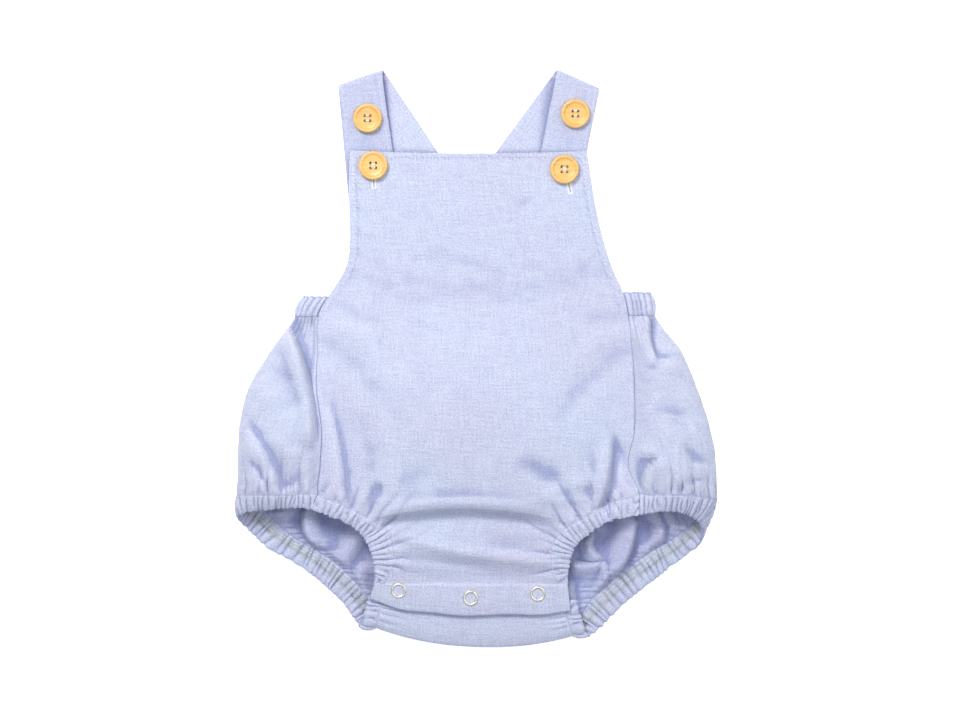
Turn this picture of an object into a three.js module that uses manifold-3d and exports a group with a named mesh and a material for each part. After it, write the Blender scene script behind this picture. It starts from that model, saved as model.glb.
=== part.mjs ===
// A baby's bib romper with bubble legs, laid flat on its back with its crossed straps buttoned to the bib.
// Millimetres, +Z up: it lies on z = 0, +Y points to the shoulders, and the origin is the middle of its footprint.
import * as THREE from "three";
import Module from "manifold-3d";
import { mergeVertices } from "three/addons/utils/BufferGeometryUtils.js";

const wasm = await Module();
wasm.setup();

// Driving sizes
const CLOTH = 1.2;
const STRAP_CLOTH = 1.6;
const PLACKET_CLOTH = 2.0;
const SEAM_GAP = 0.3;
const STRAP_WIDTH = 28;
const BUTTON_DIAMETER = 18;
const BUTTON_THICKNESS = 3.2;
const BUTTON_HOLE_RADIUS = 0.95;
const BUTTON_HOLE_SPACING = 3.1;
const SNAP_OUTER_RADIUS = 4.8;
const SNAP_INNER_RADIUS = 3.4;
const SNAP_HEIGHT = 0.9;
const STUD_RADIUS = 4;
const STUD_POST_RADIUS = 1.8;

// Colours
const LILAC = 0xb4bce6;
const HONEY = 0xf3b94c;
const PALE_BRASS = 0xd9d3b4;
const finishes = {
  cloth: new THREE.MeshStandardMaterial({ color: LILAC, roughness: 0.95, metalness: 0 }),
  button: new THREE.MeshStandardMaterial({ color: HONEY, roughness: 0.45, metalness: 0 }),
  snap: new THREE.MeshStandardMaterial({ color: PALE_BRASS, roughness: 0.3, metalness: 1 }),
};

// The front panel, from the bib's top edge to the stitched line above the crotch placket.
// Each row runs from a left edge point over a middle point to a right edge point.
const frontRow = ([lx, ly, lz, my, mz, rx, ry, rz]) => ({ lx, ly, lz, my, mz, rx, ry, rz });
const FRONT_ROWS = [
  [-78.6, 127.3, 7.0, 126.6, 6.6, 68.6, 127.2, 7.0],
  [-79.4, 105, 6.6, 105, 6.4, 72.0, 105, 6.6],
  [-78.6, 85, 6.4, 85, 6.6, 75.8, 85, 6.4],
  [-79.2, 64, 6.6, 64, 6.8, 81.4, 64, 6.6],
  [-83.6, 51, 7.4, 51, 7.6, 85.8, 52, 7.4],
  [-91.6, 38.4, 9.2, 38, 9.6, 90.6, 41, 9.2],
  [-98.2, 25.5, 10.5, 24, 13, 94, 26, 10.5],
  [-98.3, 4.3, 12.8, 4, 18.5, 96.4, 4.3, 12.8],
  [-98.9, -18, 14.6, -18, 22.2, 97.6, -18, 14.6],
  [-95.6, -43, 16.2, -43, 24.4, 97.4, -44, 16.2],
  [-96.2, -65, 17.2, -67, 24.4, 93.4, -66, 17.2],
  [-97.4, -83.8, 18, -85, 22.6, 100, -83.3, 18],
  [-87.7, -88.7, 19, -92, 20.4, 89, -87.4, 19],
  [-74.5, -95, 19, -97, 18.6, 77.2, -93, 19],
  [-64.8, -99.6, 18.2, -102, 17.2, 64.2, -99.8, 18.2],
  [-56.7, -105.8, 17, -108.5, 16, 53, -106.6, 17],
  [-51.8, -114.7, 15.6, -116, 15, 47.4, -114.7, 15.6],
  [-51.2, -124.4, 13.8, -125, 13.8, 46.2, -124, 13.8],
  [-53.6, -132.4, 12.2, -132.5, 12.2, 47.2, -132.5, 12.2],
  [-57.4, -138.4, 11, -138.9, 11, 50.5, -138.6, 11],
].map(frontRow);
const FRONT_LEG_START = 11;
const FRONT_ROW_STEPS = [1, 1, 1, 1, 1, 1, 2, 2, 2, 2, 2, 2, 2, 2, 2, 2, 2, 2, 2];
const FRONT_COLUMNS = [0, 0.025, 0.06, 0.1, 0.15, 0.22, 0.3, 0.38, 0.46, 0.54, 0.62, 0.7, 0.78, 0.85, 0.9, 0.94, 0.975, 1];
const FRONT_BOW = 2.4;
const FRONT_CROWN = 2.6;

// The opening edge of the front leg casings, a point for each front row from the side seam to the placket.
const edgePoint = ([x, y, z]) => ({ x, y, z });
const FRONT_LEG_EDGE = {
  left: [
    [-102.8, -93, 17.2], [-92.2, -97, 17.4], [-81.5, -101.4, 17], [-74.2, -106, 16.4], [-69, -112.4, 15.4],
    [-65.6, -119.6, 14], [-63.7, -127.4, 12.6], [-63, -134, 11.4], [-63.4, -138.6, 11],
  ].map(edgePoint),
  right: [
    [99.4, -97.2, 17.2], [88, -99.2, 17.4], [79.4, -102, 17], [70.6, -108, 16.4], [63.6, -113.4, 15.4],
    [59.8, -120, 14], [57.6, -128, 12.6], [56.8, -134, 11.4], [57, -138.8, 11],
  ].map(edgePoint),
};

// The wrapped sides of the back: from the front seam up over a crest, round the side fold and onto the floor. A table
// has a row for each front row from its start, and the seam itself follows the front panel's edge.
const sideRow = ([crestX, crestZ, foldX]) => ({ crestX, crestZ, foldX });
const SEAT_SIDES = {
  start: 6,
  spacing: 1,
  left: [
    [-103.6, 11.4, -112.4], [-108.4, 18.6, -126.8], [-114.2, 23.6, -140], [-118.6, 26.2, -146], [-120, 26, -147],
    [-120, 22.9, -147.9],
  ].map(sideRow),
  right: [
    [101.4, 11.4, 110.4], [107.5, 18.6, 126], [114.2, 23.6, 135.6], [118.6, 26.2, 144], [120, 26, 147.8],
    [120, 22.9, 148.3],
  ].map(sideRow),
};
const WAIST_SIDES = {
  start: 5,
  spacing: 0.5,
  left: [[-97.2, 10, -107.2], [-100.4, 10.8, -109.8], [-103.6, 11.4, -112.4]].map(sideRow),
  right: [[99, 10, 107.8], [100.4, 10.8, 109.4], [101.4, 11.4, 110.4]].map(sideRow),
};
const SIDE_UNITS = 8;
const SIDE_CREST_UNIT = 2;

// Where the back panel meets the leg casing, and that casing's opening edge. The rows run from the front seam round
// the side (5), onto the floor (8), down to the fold at the crotch (16) and back up under the placket (19).
const legRow = ([sx, sy, sz, ex, ey, ez, my, mz]) => ({ sx, sy, sz, ex, ey, ez, my, mz });
const BACK_LEG_ROWS = {
  left: [
    [-98, -84, 18, -103.4, -93.1, 17.2],
    [-109, -84, 21.4, -112, -91.9, 19],
    [-120, -84, 22.9, -125.6, -93, 17.6],
    [-134, -84, 21.4, -138, -94.5, 15.4],
    [-144.4, -84.2, 17.2, -146.4, -97, 12],
    [-147.9, -84.8, 11.7, -147.9, -99.3, 8.2],
    [-144.6, -87, 6.2, -147.2, -101.6, 4.4],
    [-138, -91.2, 2, -144.6, -104.8, 2.2],
    [-130.5, -97, 0.6, -138.4, -111, 1.4, -96, 0.6],
    [-122, -105.6, 0.6, -129.2, -119, 1.4, -104, 0.6],
    [-113, -112.6, 0.6, -117, -125.4, 1.4, -112, 0.6],
    [-101, -119.4, 0.6, -104.6, -133.6, 1.4, -120, 0.6],
    [-89, -127.2, 0.6, -92.6, -143.6, 1.4, -130, 0.6],
    [-78.4, -137, 0.6, -83.4, -152.8, 1.4, -142, 0.6],
    [-69.6, -147.4, 0.6, -77.4, -160.8, 1.5, -155, 0.6],
    [-64.4, -158, 0.7, -74.4, -165, 2.2, -169, 0.7],
    [-62.4, -167.4, 3.8, -72.4, -167.3, 4.4, -179.2, 3.8],
    [-61.5, -162.5, 6.9, -70.8, -163, 6.9, -172.5, 6.9],
    [-59.6, -154, 7.2, -69.2, -155, 7.2, -160, 7.2],
    [-58, -146, 7.2, -67.2, -147.4, 7.2, -147, 7.2],
  ].map(legRow),
  right: [
    [100.6, -83.6, 18, 100, -97.1, 17.2],
    [110, -84, 21.4, 107, -95.6, 19],
    [120, -84, 22.9, 117.4, -94.2, 18.2],
    [134.2, -84.4, 21.4, 127.4, -95.8, 16.6],
    [144.8, -86, 17.2, 135, -99.6, 13.2],
    [148.3, -88.6, 11.6, 139.6, -105.4, 8.4],
    [145.6, -92.4, 6.2, 140.6, -112, 4.6],
    [139.4, -98.6, 2.1, 137.4, -118, 2.3],
    [131.5, -106, 0.6, 130.4, -123.6, 1.4],
    [122, -113.4, 0.6, 121.8, -129.8, 1.4],
    [111, -119.4, 0.6, 112.6, -137, 1.4],
    [100, -127, 0.6, 103, -144.4, 1.4],
    [89, -135.2, 0.6, 93.6, -152, 1.4],
    [79, -143.8, 0.6, 85, -160.4, 1.4],
    [70, -153.4, 0.6, 77.8, -167.6, 1.5],
    [63.4, -163.6, 0.7, 73, -171.6, 2.2],
    [60, -172.4, 3.8, 70.2, -173.4, 4.4],
    [58.2, -167.5, 6.9, 68, -169, 6.9],
    [55.6, -158, 7.2, 65.2, -160, 7.2],
    [53.4, -149, 7.2, 62.4, -150.6, 7.2],
  ].map(legRow),
};
const BACK_FLOOR_ROW = 8;
const BACK_ROW_STEP = 0.5;
const BACK_BOW = 2.2;
const BACK_FLOOR_COLUMNS = [
  0, 0.025, 0.05, 0.075, 0.1, 0.13, 0.16, 0.19, 0.23, 0.3, 0.4, 0.5, 0.6, 0.7, 0.77, 0.81, 0.84, 0.87, 0.9, 0.925,
  0.95, 0.975, 1,
];

// Soft folds, each along a chord whose middle is bowed sideways: a ridge has a positive height, a trough a negative one.
const fold = ([x0, y0, x1, y1, bow, width, height]) => ({ x0, y0, x1, y1, bow, width, height });
const FRONT_FOLDS = [
  [-67, -97, 61, -101, 6, 4.5, 1.8],
  [-62, -106, 56, -108, 6.5, 5, -4.4],
  [-52, -108, 50, -127, 0, 4.5, 2.4],
  [-48, -131, 44, -131, -1, 5, -1],
  [-92, -14, -85, -88, 2, 4.5, 2.6],
  [-86, -22, -79, -90, 4, 3.6, -2.6],
  [88, -46, 76, -97, -3, 4, -3.4],
  [93, -50, 86, -88, -2, 3.5, 1.6],
  [-90, 14, -52, -34, 4, 7, -1.3],
  [90, 6, 58, -28, -4, 8, -1.2],
  [38, -66, 72, -92, 4, 8, -2.2],
  [-70, 46, 70, 44, -4, 12, -0.8],
].map(fold);
const SIDE_FOLDS = [
  [-112, 20, -101, -50, -4, 4.5, 2.4],
  [-103, 24, -98, -34, -2, 3.2, -3.6],
  [-142, -48, -122, -82, -3, 5, -3],
  [-132, -62, -112, -84, -2, 4.5, -2],
  [-128, 2, -118, -28, 3, 6, -1.8],
  [111, 22, 110, 2, 2, 3, -3.2],
  [103, -62, 107, -84, 2, 3.2, -3],
  [135, -60, 141, -78, 2, 4.5, -3],
  [122, -66, 118, -84, -2, 4, -2.2],
  [112, -36, 128, -46, 3, 7, -1.6],
].map(fold);
// Folds of the back panel that rise from the floor inside the leg openings.
const INNER_FOLDS = [
  [-106, -82, -110, -113, 3, 6.5, 5],
  [-84, -90, -76, -134, -3, 7, 4],
  [102, -82, 97, -126, -4, 6.5, 5.5],
  [80, -96, 80, -138, -4, 6, 5],
  [124, -84, 116, -114, 3, 5.5, 4],
].map(fold);

// Gathers
const CASING_RIBS = { front: 20, back: 27 };
const CASING_RIB = [0.25, 1, 0.9];
const CASING_THIN = 1.5;
const CASING_THICK = 3.0;
const PANEL_RIPPLE = 1.1;
const PANEL_RIPPLE_REACH = 14;

// The elastic waist casing
const WAIST_SIDE_RIBS = 8;
const WAIST_FLOOR_RIBS = 27;
const WAIST_THIN = 1.3;
const WAIST_THICK = 2.2;

// The straps are straight ribbons that lie on the floor, fold over at the shoulder and come down to the bib.
const STRAPS = {
  left: {
    foldX: -71.4, foldY: 174.2, foldSlope: 0.352, backX: 26, backY: 28, frontLength: 72, lift: 0,
  },
  right: {
    foldX: 62.6, foldY: 173.4, foldSlope: -0.441, backX: -44, backY: 28, frontLength: 72, lift: 2.1,
  },
};
const STRAP_BEND_RADIUS = 3.2;
const STRAP_FRONT_DROP = 3.4;
const STRAP_WAIST_LIFT = 2.1;
const CROSSING = { x: -8, y: 79, reach: 42 };

// Buttons, snaps and the placket
const BUTTONS = {
  button_bib_left: { x: -64, y: 119.4, on: "bib" },
  button_strap_left: { x: -67.6, y: 149, on: "strap" },
  button_bib_right: { x: 54.6, y: 117, on: "bib" },
  button_strap_right: { x: 61.4, y: 151.8, on: "strap" },
};
const BIB_BUTTON_Z = 7.8;
const SNAPS = [
  { x: -48.2, y: -143.8 },
  { x: -3.6, y: -148.4 },
  { x: 38, y: -145.8 },
];
const PLACKET_MID_Z = 10.8;
const placketColumn = ([topX, topY, bottomX, bottomY]) => ({ topX, topY, bottomX, bottomY });
const PLACKET_COLUMNS = [
  [-63.2, -139.2, -66.2, -149.6],
  [-45, -139.4, -47, -155.4],
  [-20, -139.6, -22.6, -158.6],
  [8, -139.7, 9.5, -159.3],
  [34, -139.4, 36.9, -158.8],
  [56.6, -139.3, 58.4, -157.4],
].map(placketColumn);

const lerp = (a, b, t) => a + (b - a) * t;
const clamp = (value, low, high) => Math.min(Math.max(value, low), high);
const smooth = (t) => {
  const s = clamp(t, 0, 1);
  return s * s * (3 - 2 * s);
};

// A column of a table as a smooth curve through its rows, at a fractional row number.
function along(rows, key, at) {
  const last = rows.length - 1;
  const i = clamp(Math.floor(at), 0, last - 1);
  const t = at - i;
  const [a, b, c, d] = [i - 1, i, i + 1, i + 2].map((j) => rows[clamp(j, 0, last)][key]);
  return b + 0.5 * t * (c - a + t * (2 * a - 5 * b + 4 * c - d + t * (3 * (b - c) + d - a)));
}

// How much a list of folds lifts the cloth at a place seen from above.
function foldHeight(folds, x, y) {
  let height = 0;
  for (const f of folds) {
    const dx = f.x1 - f.x0;
    const dy = f.y1 - f.y0;
    const length = Math.hypot(dx, dy);
    const t = ((x - f.x0) * dx + (y - f.y0) * dy) / (length * length);
    if (t <= 0 || t >= 1) continue;
    const ends = 4 * t * (1 - t);
    const away = ((y - f.y0) * dx - (x - f.x0) * dy) / length - f.bow * ends;
    height += f.height * Math.pow(ends, 0.7) * Math.exp(-((away / f.width) ** 2));
  }
  return height;
}

// Turns a net of middle points into one closed wall. faces are corner lists, anticlockwise seen from the upper side,
// which is the inner side where the cloth wraps round. edgeUps fixes the wall's direction towards that side at points
// where two pieces meet, and upper and lower give its two half thicknesses.
function wall(points, faces, upper, lower = upper, edgeUps = new Map()) {
  const count = points.length;
  const normals = points.map(() => new THREE.Vector3());
  const triangles = faces.flatMap((f) => (f.length === 4 ? [[f[0], f[1], f[2]], [f[0], f[2], f[3]]] : [f]));
  for (const [a, b, c] of triangles) {
    const ab = points[b].clone().sub(points[a]);
    const n = ab.cross(points[c].clone().sub(points[a]));
    for (const i of [a, b, c]) normals[i].add(n);
  }
  const half = (thickness, i) => (typeof thickness === "number" ? thickness : thickness[i]);
  const position = new Float32Array(count * 6);
  points.forEach((p, i) => {
    const up = (edgeUps.get(i) ?? normals[i]).clone().normalize();
    const top = p.clone().addScaledVector(up, half(upper, i));
    const bottom = p.clone().addScaledVector(up, -half(lower, i));
    top.z = Math.max(top.z, 0);
    bottom.z = Math.max(bottom.z, 0);
    top.toArray(position, i * 3);
    bottom.toArray(position, (count + i) * 3);
  });
  const open = new Map();
  const index = [];
  for (const [a, b, c] of triangles) {
    index.push(a, b, c, count + a, count + c, count + b);
    for (const [from, to] of [[a, b], [b, c], [c, a]]) {
      if (!open.delete(to + "_" + from)) open.set(from + "_" + to, [from, to]);
    }
  }
  for (const [from, to] of open.values()) {
    index.push(from, count + from, count + to, from, count + to, to);
  }
  const geometry = new THREE.BufferGeometry();
  geometry.setAttribute("position", new THREE.BufferAttribute(position, 3));
  geometry.setIndex(index);
  geometry.computeVertexNormals();
  return geometry;
}

// The faces of a net of rows by columns, numbered row after row.
function netFaces(rows, columns, flip = false) {
  const faces = [];
  for (let r = 0; r + 1 < rows; r++) {
    for (let c = 0; c + 1 < columns; c++) {
      const a = r * columns + c;
      const face = [a, a + columns, a + columns + 1, a + 1];
      faces.push(flip ? face.reverse() : face);
    }
  }
  return faces;
}

const steps = (count, from = 0, to = 1) => Array.from({ length: count + 1 }, (_, i) => lerp(from, to, i / count));

const UP = new THREE.Vector3(0, 0, 1);
const DOWN = new THREE.Vector3(0, 0, -1);

// The front panel's middle surface at a fractional row and a place across.
function frontPoint(row, t) {
  const at = (key) => along(FRONT_ROWS, key, row);
  const bow = 1 - Math.pow(Math.abs(2 * t - 1), FRONT_BOW);
  const crown = 1 - Math.pow(Math.abs(2 * t - 1), FRONT_CROWN);
  const x = lerp(at("lx"), at("rx"), t);
  const y = lerp(at("ly"), at("ry"), t) + (at("my") - (at("ly") + at("ry")) / 2) * bow;
  const z = lerp(at("lz"), at("rz"), t) + (at("mz") - (at("lz") + at("rz")) / 2) * crown;
  const legs = smooth((row - FRONT_LEG_START) / 2) * Math.cos(row * 2 * Math.PI);
  const edge = Math.min(x - at("lx"), at("rx") - x) / PANEL_RIPPLE_REACH;
  const ripple = PANEL_RIPPLE * legs * Math.exp(-edge * edge * 2);
  return new THREE.Vector3(x, y, z + ripple * smooth(edge * 4) + foldHeight(FRONT_FOLDS, x, y));
}

function frontRowNumbers() {
  const numbers = [0];
  FRONT_ROW_STEPS.forEach((parts, row) => {
    for (let i = 1; i <= parts; i++) numbers.push(row + i / parts);
  });
  return numbers;
}

function frontPanel() {
  const rows = frontRowNumbers();
  const points = [];
  const ups = new Map();
  for (const row of rows) {
    for (const t of FRONT_COLUMNS) {
      if (t === 0 || t === 1) ups.set(points.length, UP);
      points.push(frontPoint(row, t));
    }
  }
  return wall(points, netFaces(rows.length, FRONT_COLUMNS.length), CLOTH / 2, CLOTH / 2, ups);
}

// The front panel's edge as its net has it, at a fractional row.
function frontEdge(side, row) {
  const t = side === "left" ? 0 : 1;
  const rows = frontRowNumbers();
  const i = Math.max(rows.findIndex((r) => r >= row), 1);
  const share = (row - rows[i - 1]) / (rows[i] - rows[i - 1]);
  return frontPoint(rows[i - 1], t).lerp(frontPoint(rows[i], t), share);
}

// A point of the wrapped side: unit 0 is the front seam, 2 the crest, 5 the side fold and 8 the floor.
function sidePoint(sides, side, row, unit) {
  const at = (key) => along(sides[side], key, (row - sides.start) / sides.spacing);
  const seam = frontEdge(side, row);
  seam.x += side === "left" ? -SEAM_GAP : SEAM_GAP;
  const crestX = at("crestX");
  const middle = (at("crestZ") + CLOTH / 2) / 2;
  const reach = at("crestZ") - middle;
  if (unit < SIDE_CREST_UNIT) {
    const t = unit / SIDE_CREST_UNIT;
    const z = lerp(seam.z, at("crestZ"), Math.sin((t * Math.PI) / 2));
    return new THREE.Vector3(lerp(seam.x, crestX, t), seam.y, z);
  }
  const turn = ((unit - SIDE_CREST_UNIT) / (SIDE_UNITS - SIDE_CREST_UNIT)) * Math.PI;
  return new THREE.Vector3(crestX + (at("foldX") - crestX) * Math.sin(turn), seam.y, middle + reach * Math.cos(turn));
}

function legSeam(side, at) {
  const rows = BACK_LEG_ROWS[side];
  return new THREE.Vector3(along(rows, "sx", at), along(rows, "sy", at), along(rows, "sz", at));
}

function legEdge(side, at) {
  const rows = BACK_LEG_ROWS[side];
  return new THREE.Vector3(along(rows, "ex", at), along(rows, "ey", at), along(rows, "ez", at));
}

// The upright direction of the cloth at a seam that a casing shares with a panel.
function seamUp(before, after, outward) {
  return after.clone().sub(before).cross(outward).normalize();
}

const SIDE_STEPS = steps(SIDE_UNITS * 2, 0, SIDE_UNITS);
const BACK_SIDE_ROWS = steps(9, 6, 10.5);
const BACK_LAST = BACK_LEG_ROWS.left.length - 1;

// Lifts a point of the wrapped side by the folds there, less and less as the cloth turns down round the fold.
function withSideFolds(point, unit, share) {
  const upward = unit < SIDE_CREST_UNIT ? smooth(unit) : Math.max(0, Math.cos(((unit - SIDE_CREST_UNIT) / 6) * Math.PI));
  const wave = PANEL_RIPPLE * share * Math.cos(unit * 2 * Math.PI) * (unit > 0.2 ? 1 : 0);
  point.z += upward * (foldHeight(SIDE_FOLDS, point.x, point.y) + wave);
  return point;
}

// A row of the back panel's floor part, between the two leg seams.
function floorPoint(row, t) {
  const left = legSeam("left", row);
  const right = legSeam("right", row);
  const bow = 1 - Math.pow(Math.abs(2 * t - 1), BACK_BOW);
  const point = left.clone().lerp(right, t);
  point.y += (along(BACK_LEG_ROWS.left.slice(BACK_FLOOR_ROW), "my", row - BACK_FLOOR_ROW) - (left.y + right.y) / 2) * bow;
  if (row < 14.5) point.z += Math.max(0, foldHeight(INNER_FOLDS, point.x, point.y)) * smooth(Math.min(t, 1 - t) * 16);
  return point;
}

// The back panel: wrapped sides down to the leg level, then the seat on the floor and the flap folded up to the front.
function backPanel() {
  const points = [];
  const ups = new Map();
  const add = (point, up) => {
    if (up) ups.set(points.length, up);
    return points.push(point) - 1;
  };
  const nets = [];
  for (const row of BACK_SIDE_ROWS) {
    const share = smooth((row - 9) / 2) * 0.8;
    const drop = row === SEAT_SIDES.start ? SEAM_GAP : 0;
    const sideLine = (side) =>
      SIDE_STEPS.map((unit) => {
        const point = withSideFolds(sidePoint(SEAT_SIDES, side, row, unit), unit, share);
        point.y -= drop;
        return add(point, unit === 0 && DOWN);
      });
    const line = sideLine("left");
    const [left, right] = ["left", "right"].map((side) => sidePoint(SEAT_SIDES, side, row, SIDE_UNITS));
    for (const t of BACK_FLOOR_COLUMNS.slice(1, -1)) {
      const point = left.clone().lerp(right, t);
      point.y -= drop;
      line.push(add(point));
    }
    line.push(...sideLine("right").reverse());
    nets.push(line);
  }
  const seamUpAt = (side, row) => {
    const outward = legEdge(side, row).sub(legSeam(side, row));
    const up = seamUp(legSeam(side, Math.max(row - 0.25, 0)), legSeam(side, Math.min(row + 0.25, BACK_LAST)), outward);
    return side === "left" ? up.negate() : up;
  };
  const seamLine = (side) => SIDE_STEPS.map((unit) => add(legSeam(side, unit), unit === 0 ? DOWN : seamUpAt(side, unit)));
  const floorLine = (row) => BACK_FLOOR_COLUMNS.slice(1, -1).map((t) => add(floorPoint(row, t)));
  const leftLine = seamLine("left");
  const middle = floorLine(BACK_FLOOR_ROW);
  const rightLine = seamLine("right").reverse();
  nets.push([...leftLine, ...middle, ...rightLine]);
  const faces = [];
  const weave = (upper, lower) => {
    for (let i = 0; i + 1 < upper.length; i++) faces.push([upper[i], lower[i], lower[i + 1], upper[i + 1]]);
  };
  for (let r = 0; r + 1 < nets.length; r++) weave(nets[r], nets[r + 1]);
  let above = [leftLine.at(-1), ...middle, rightLine[0]];
  for (let row = BACK_FLOOR_ROW + BACK_ROW_STEP; row <= BACK_LAST; row += BACK_ROW_STEP) {
    const below = [add(legSeam("left", row), seamUpAt("left", row)), ...floorLine(row)];
    below.push(add(legSeam("right", row), seamUpAt("right", row)));
    weave(above, below);
    above = below;
  }
  return wall(points, faces, CLOTH / 2, CLOTH / 2, ups);
}

// A gathered casing between a seam line and an opening edge. seam and edge give points at a share of the way along.
function casing(seam, edge, ribs, ends) {
  const stations = ribs * CASING_RIB.length;
  const points = [];
  const halves = [];
  const ups = new Map();
  for (let i = 0; i <= stations; i++) {
    const s = i / stations;
    const a = seam(s);
    const e = edge(s);
    const outward = e.clone().sub(a);
    const up = seamUp(seam(Math.max(s - 0.01, 0)), seam(Math.min(s + 0.01, 1)), outward);
    const plump = i === 0 || i === stations ? 0 : CASING_RIB[i % CASING_RIB.length];
    const start = a.clone().addScaledVector(outward.clone().normalize(), SEAM_GAP);
    const scallop = outward.clone().normalize().multiplyScalar((plump - 1) * ends);
    scallop.z = Math.max(scallop.z, 0);
    for (const [share, fat] of [[0, 0.35], [0.6, 1], [1, 0.45]]) {
      const point = start.clone().lerp(e, share);
      if (share === 1) point.add(scallop);
      ups.set(points.length, up);
      halves.push(lerp(CASING_THIN, CASING_THICK, plump * fat) / 2);
      points.push(point);
    }
  }
  return wall(points, netFaces(stations + 1, 3), halves, halves, ups);
}

// A line through points, by share of its length.
function polyline(points) {
  const reach = [0];
  for (let i = 1; i < points.length; i++) reach.push(reach[i - 1] + points[i].distanceTo(points[i - 1]));
  return (share) => {
    const target = share * reach.at(-1);
    let i = 1;
    while (i < points.length - 1 && reach[i] < target) i++;
    return points[i - 1].clone().lerp(points[i], clamp((target - reach[i - 1]) / (reach[i] - reach[i - 1]), 0, 1));
  };
}

// A casing's edge line read at the same row number as its seam line.
function matchedLines(seamPoints, edgePoints) {
  const reach = [0];
  for (let i = 1; i < seamPoints.length; i++) reach.push(reach[i - 1] + seamPoints[i].distanceTo(seamPoints[i - 1]));
  const pick = (points) => (share) => {
    const target = share * reach.at(-1);
    let i = 1;
    while (i < points.length - 1 && reach[i] < target) i++;
    return points[i - 1].clone().lerp(points[i], clamp((target - reach[i - 1]) / (reach[i] - reach[i - 1]), 0, 1));
  };
  return [pick(seamPoints), pick(edgePoints)];
}

function frontCasing(side) {
  const rows = frontRowNumbers().filter((row) => row >= FRONT_LEG_START);
  const seamPoints = rows.map((row) => frontPoint(row, side === "left" ? 0 : 1));
  const edgeRows = FRONT_LEG_EDGE[side];
  const edgePoints = rows.map((row) => {
    const at = row - FRONT_LEG_START;
    return new THREE.Vector3(along(edgeRows, "x", at), along(edgeRows, "y", at), along(edgeRows, "z", at));
  });
  const [seam, edge] = matchedLines(seamPoints, edgePoints);
  return casing(seam, edge, CASING_RIBS.front, 0.5);
}

function backCasing(side) {
  const rows = steps(BACK_LAST * 2, 0, BACK_LAST);
  const [seam, edge] = matchedLines(rows.map((row) => legSeam(side, row)), rows.map((row) => legEdge(side, row)));
  return casing(seam, edge, CASING_RIBS.back, 0.5);
}

// Units of a wrapped side that lie equally far apart along the cloth.
function evenUnits(sides, side, row, count) {
  const units = steps(80, 0, SIDE_UNITS);
  const reach = [0];
  for (let i = 1; i < units.length; i++) {
    const step = sidePoint(sides, side, row, units[i]).distanceTo(sidePoint(sides, side, row, units[i - 1]));
    reach.push(reach[i - 1] + step);
  }
  return steps(count, 0, reach.at(-1)).map((target) => {
    const i = clamp(reach.findIndex((r) => r >= target), 1, units.length - 1);
    return lerp(units[i - 1], units[i], clamp((target - reach[i - 1]) / (reach[i] - reach[i - 1]), 0, 1));
  });
}

// The elastic casing of the back waist, from one front seam round the back to the other.
function waistCasing() {
  const columns = [];
  const sideStations = WAIST_SIDE_RIBS * CASING_RIB.length;
  for (const unit of evenUnits(WAIST_SIDES, "left", 5.5, sideStations)) columns.push({ side: "left", unit });
  const floorStations = WAIST_FLOOR_RIBS * 2;
  for (const t of steps(floorStations).slice(1, -1)) columns.push({ t });
  for (const unit of evenUnits(WAIST_SIDES, "right", 5.5, sideStations).reverse()) columns.push({ side: "right", unit });
  const points = [];
  const halves = [];
  const ups = new Map();
  for (const [row, fat] of [[5, 0.4], [5.5, 1], [6, 0.3]]) {
    columns.forEach((column, i) => {
      const onFloor = column.t !== undefined;
      const plump = onFloor ? i % 2 : CASING_RIB[i % CASING_RIB.length];
      const [left, right] = ["left", "right"].map((side) => sidePoint(WAIST_SIDES, side, row, SIDE_UNITS));
      const point = onFloor ? left.lerp(right, column.t) : sidePoint(WAIST_SIDES, column.side, row, column.unit);
      if (column.unit === 0) ups.set(points.length, DOWN);
      halves.push(lerp(WAIST_THIN, WAIST_THICK, plump * fat) / 2);
      points.push(point);
    });
  }
  return wall(points, netFaces(3, columns.length), halves, halves, ups);
}

// A strap: a flat ribbon from the back waist to the shoulder, bent over a slanted line and brought down to the bib.
function strapFrame(side) {
  const s = STRAPS[side];
  const start = new THREE.Vector2(s.backX, s.backY);
  const shoulder = new THREE.Vector2(s.foldX, s.foldY);
  const run = shoulder.clone().sub(start);
  const length = run.length();
  const direction = run.normalize();
  const across = new THREE.Vector2(-direction.y, direction.x);
  const creaseLine = new THREE.Vector2(1, s.foldSlope).normalize();
  const beyond = new THREE.Vector2(-creaseLine.y, creaseLine.x);
  return { s, start, shoulder, length, direction, across, creaseLine, beyond };
}

// The middle height of a strap's front part, a given distance down from its fold.
function strapFrontHeight(frame, down) {
  return STRAP_CLOTH / 2 + 2 * STRAP_BEND_RADIUS - STRAP_FRONT_DROP * smooth((1.6 * down) / frame.s.frontLength);
}

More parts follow.
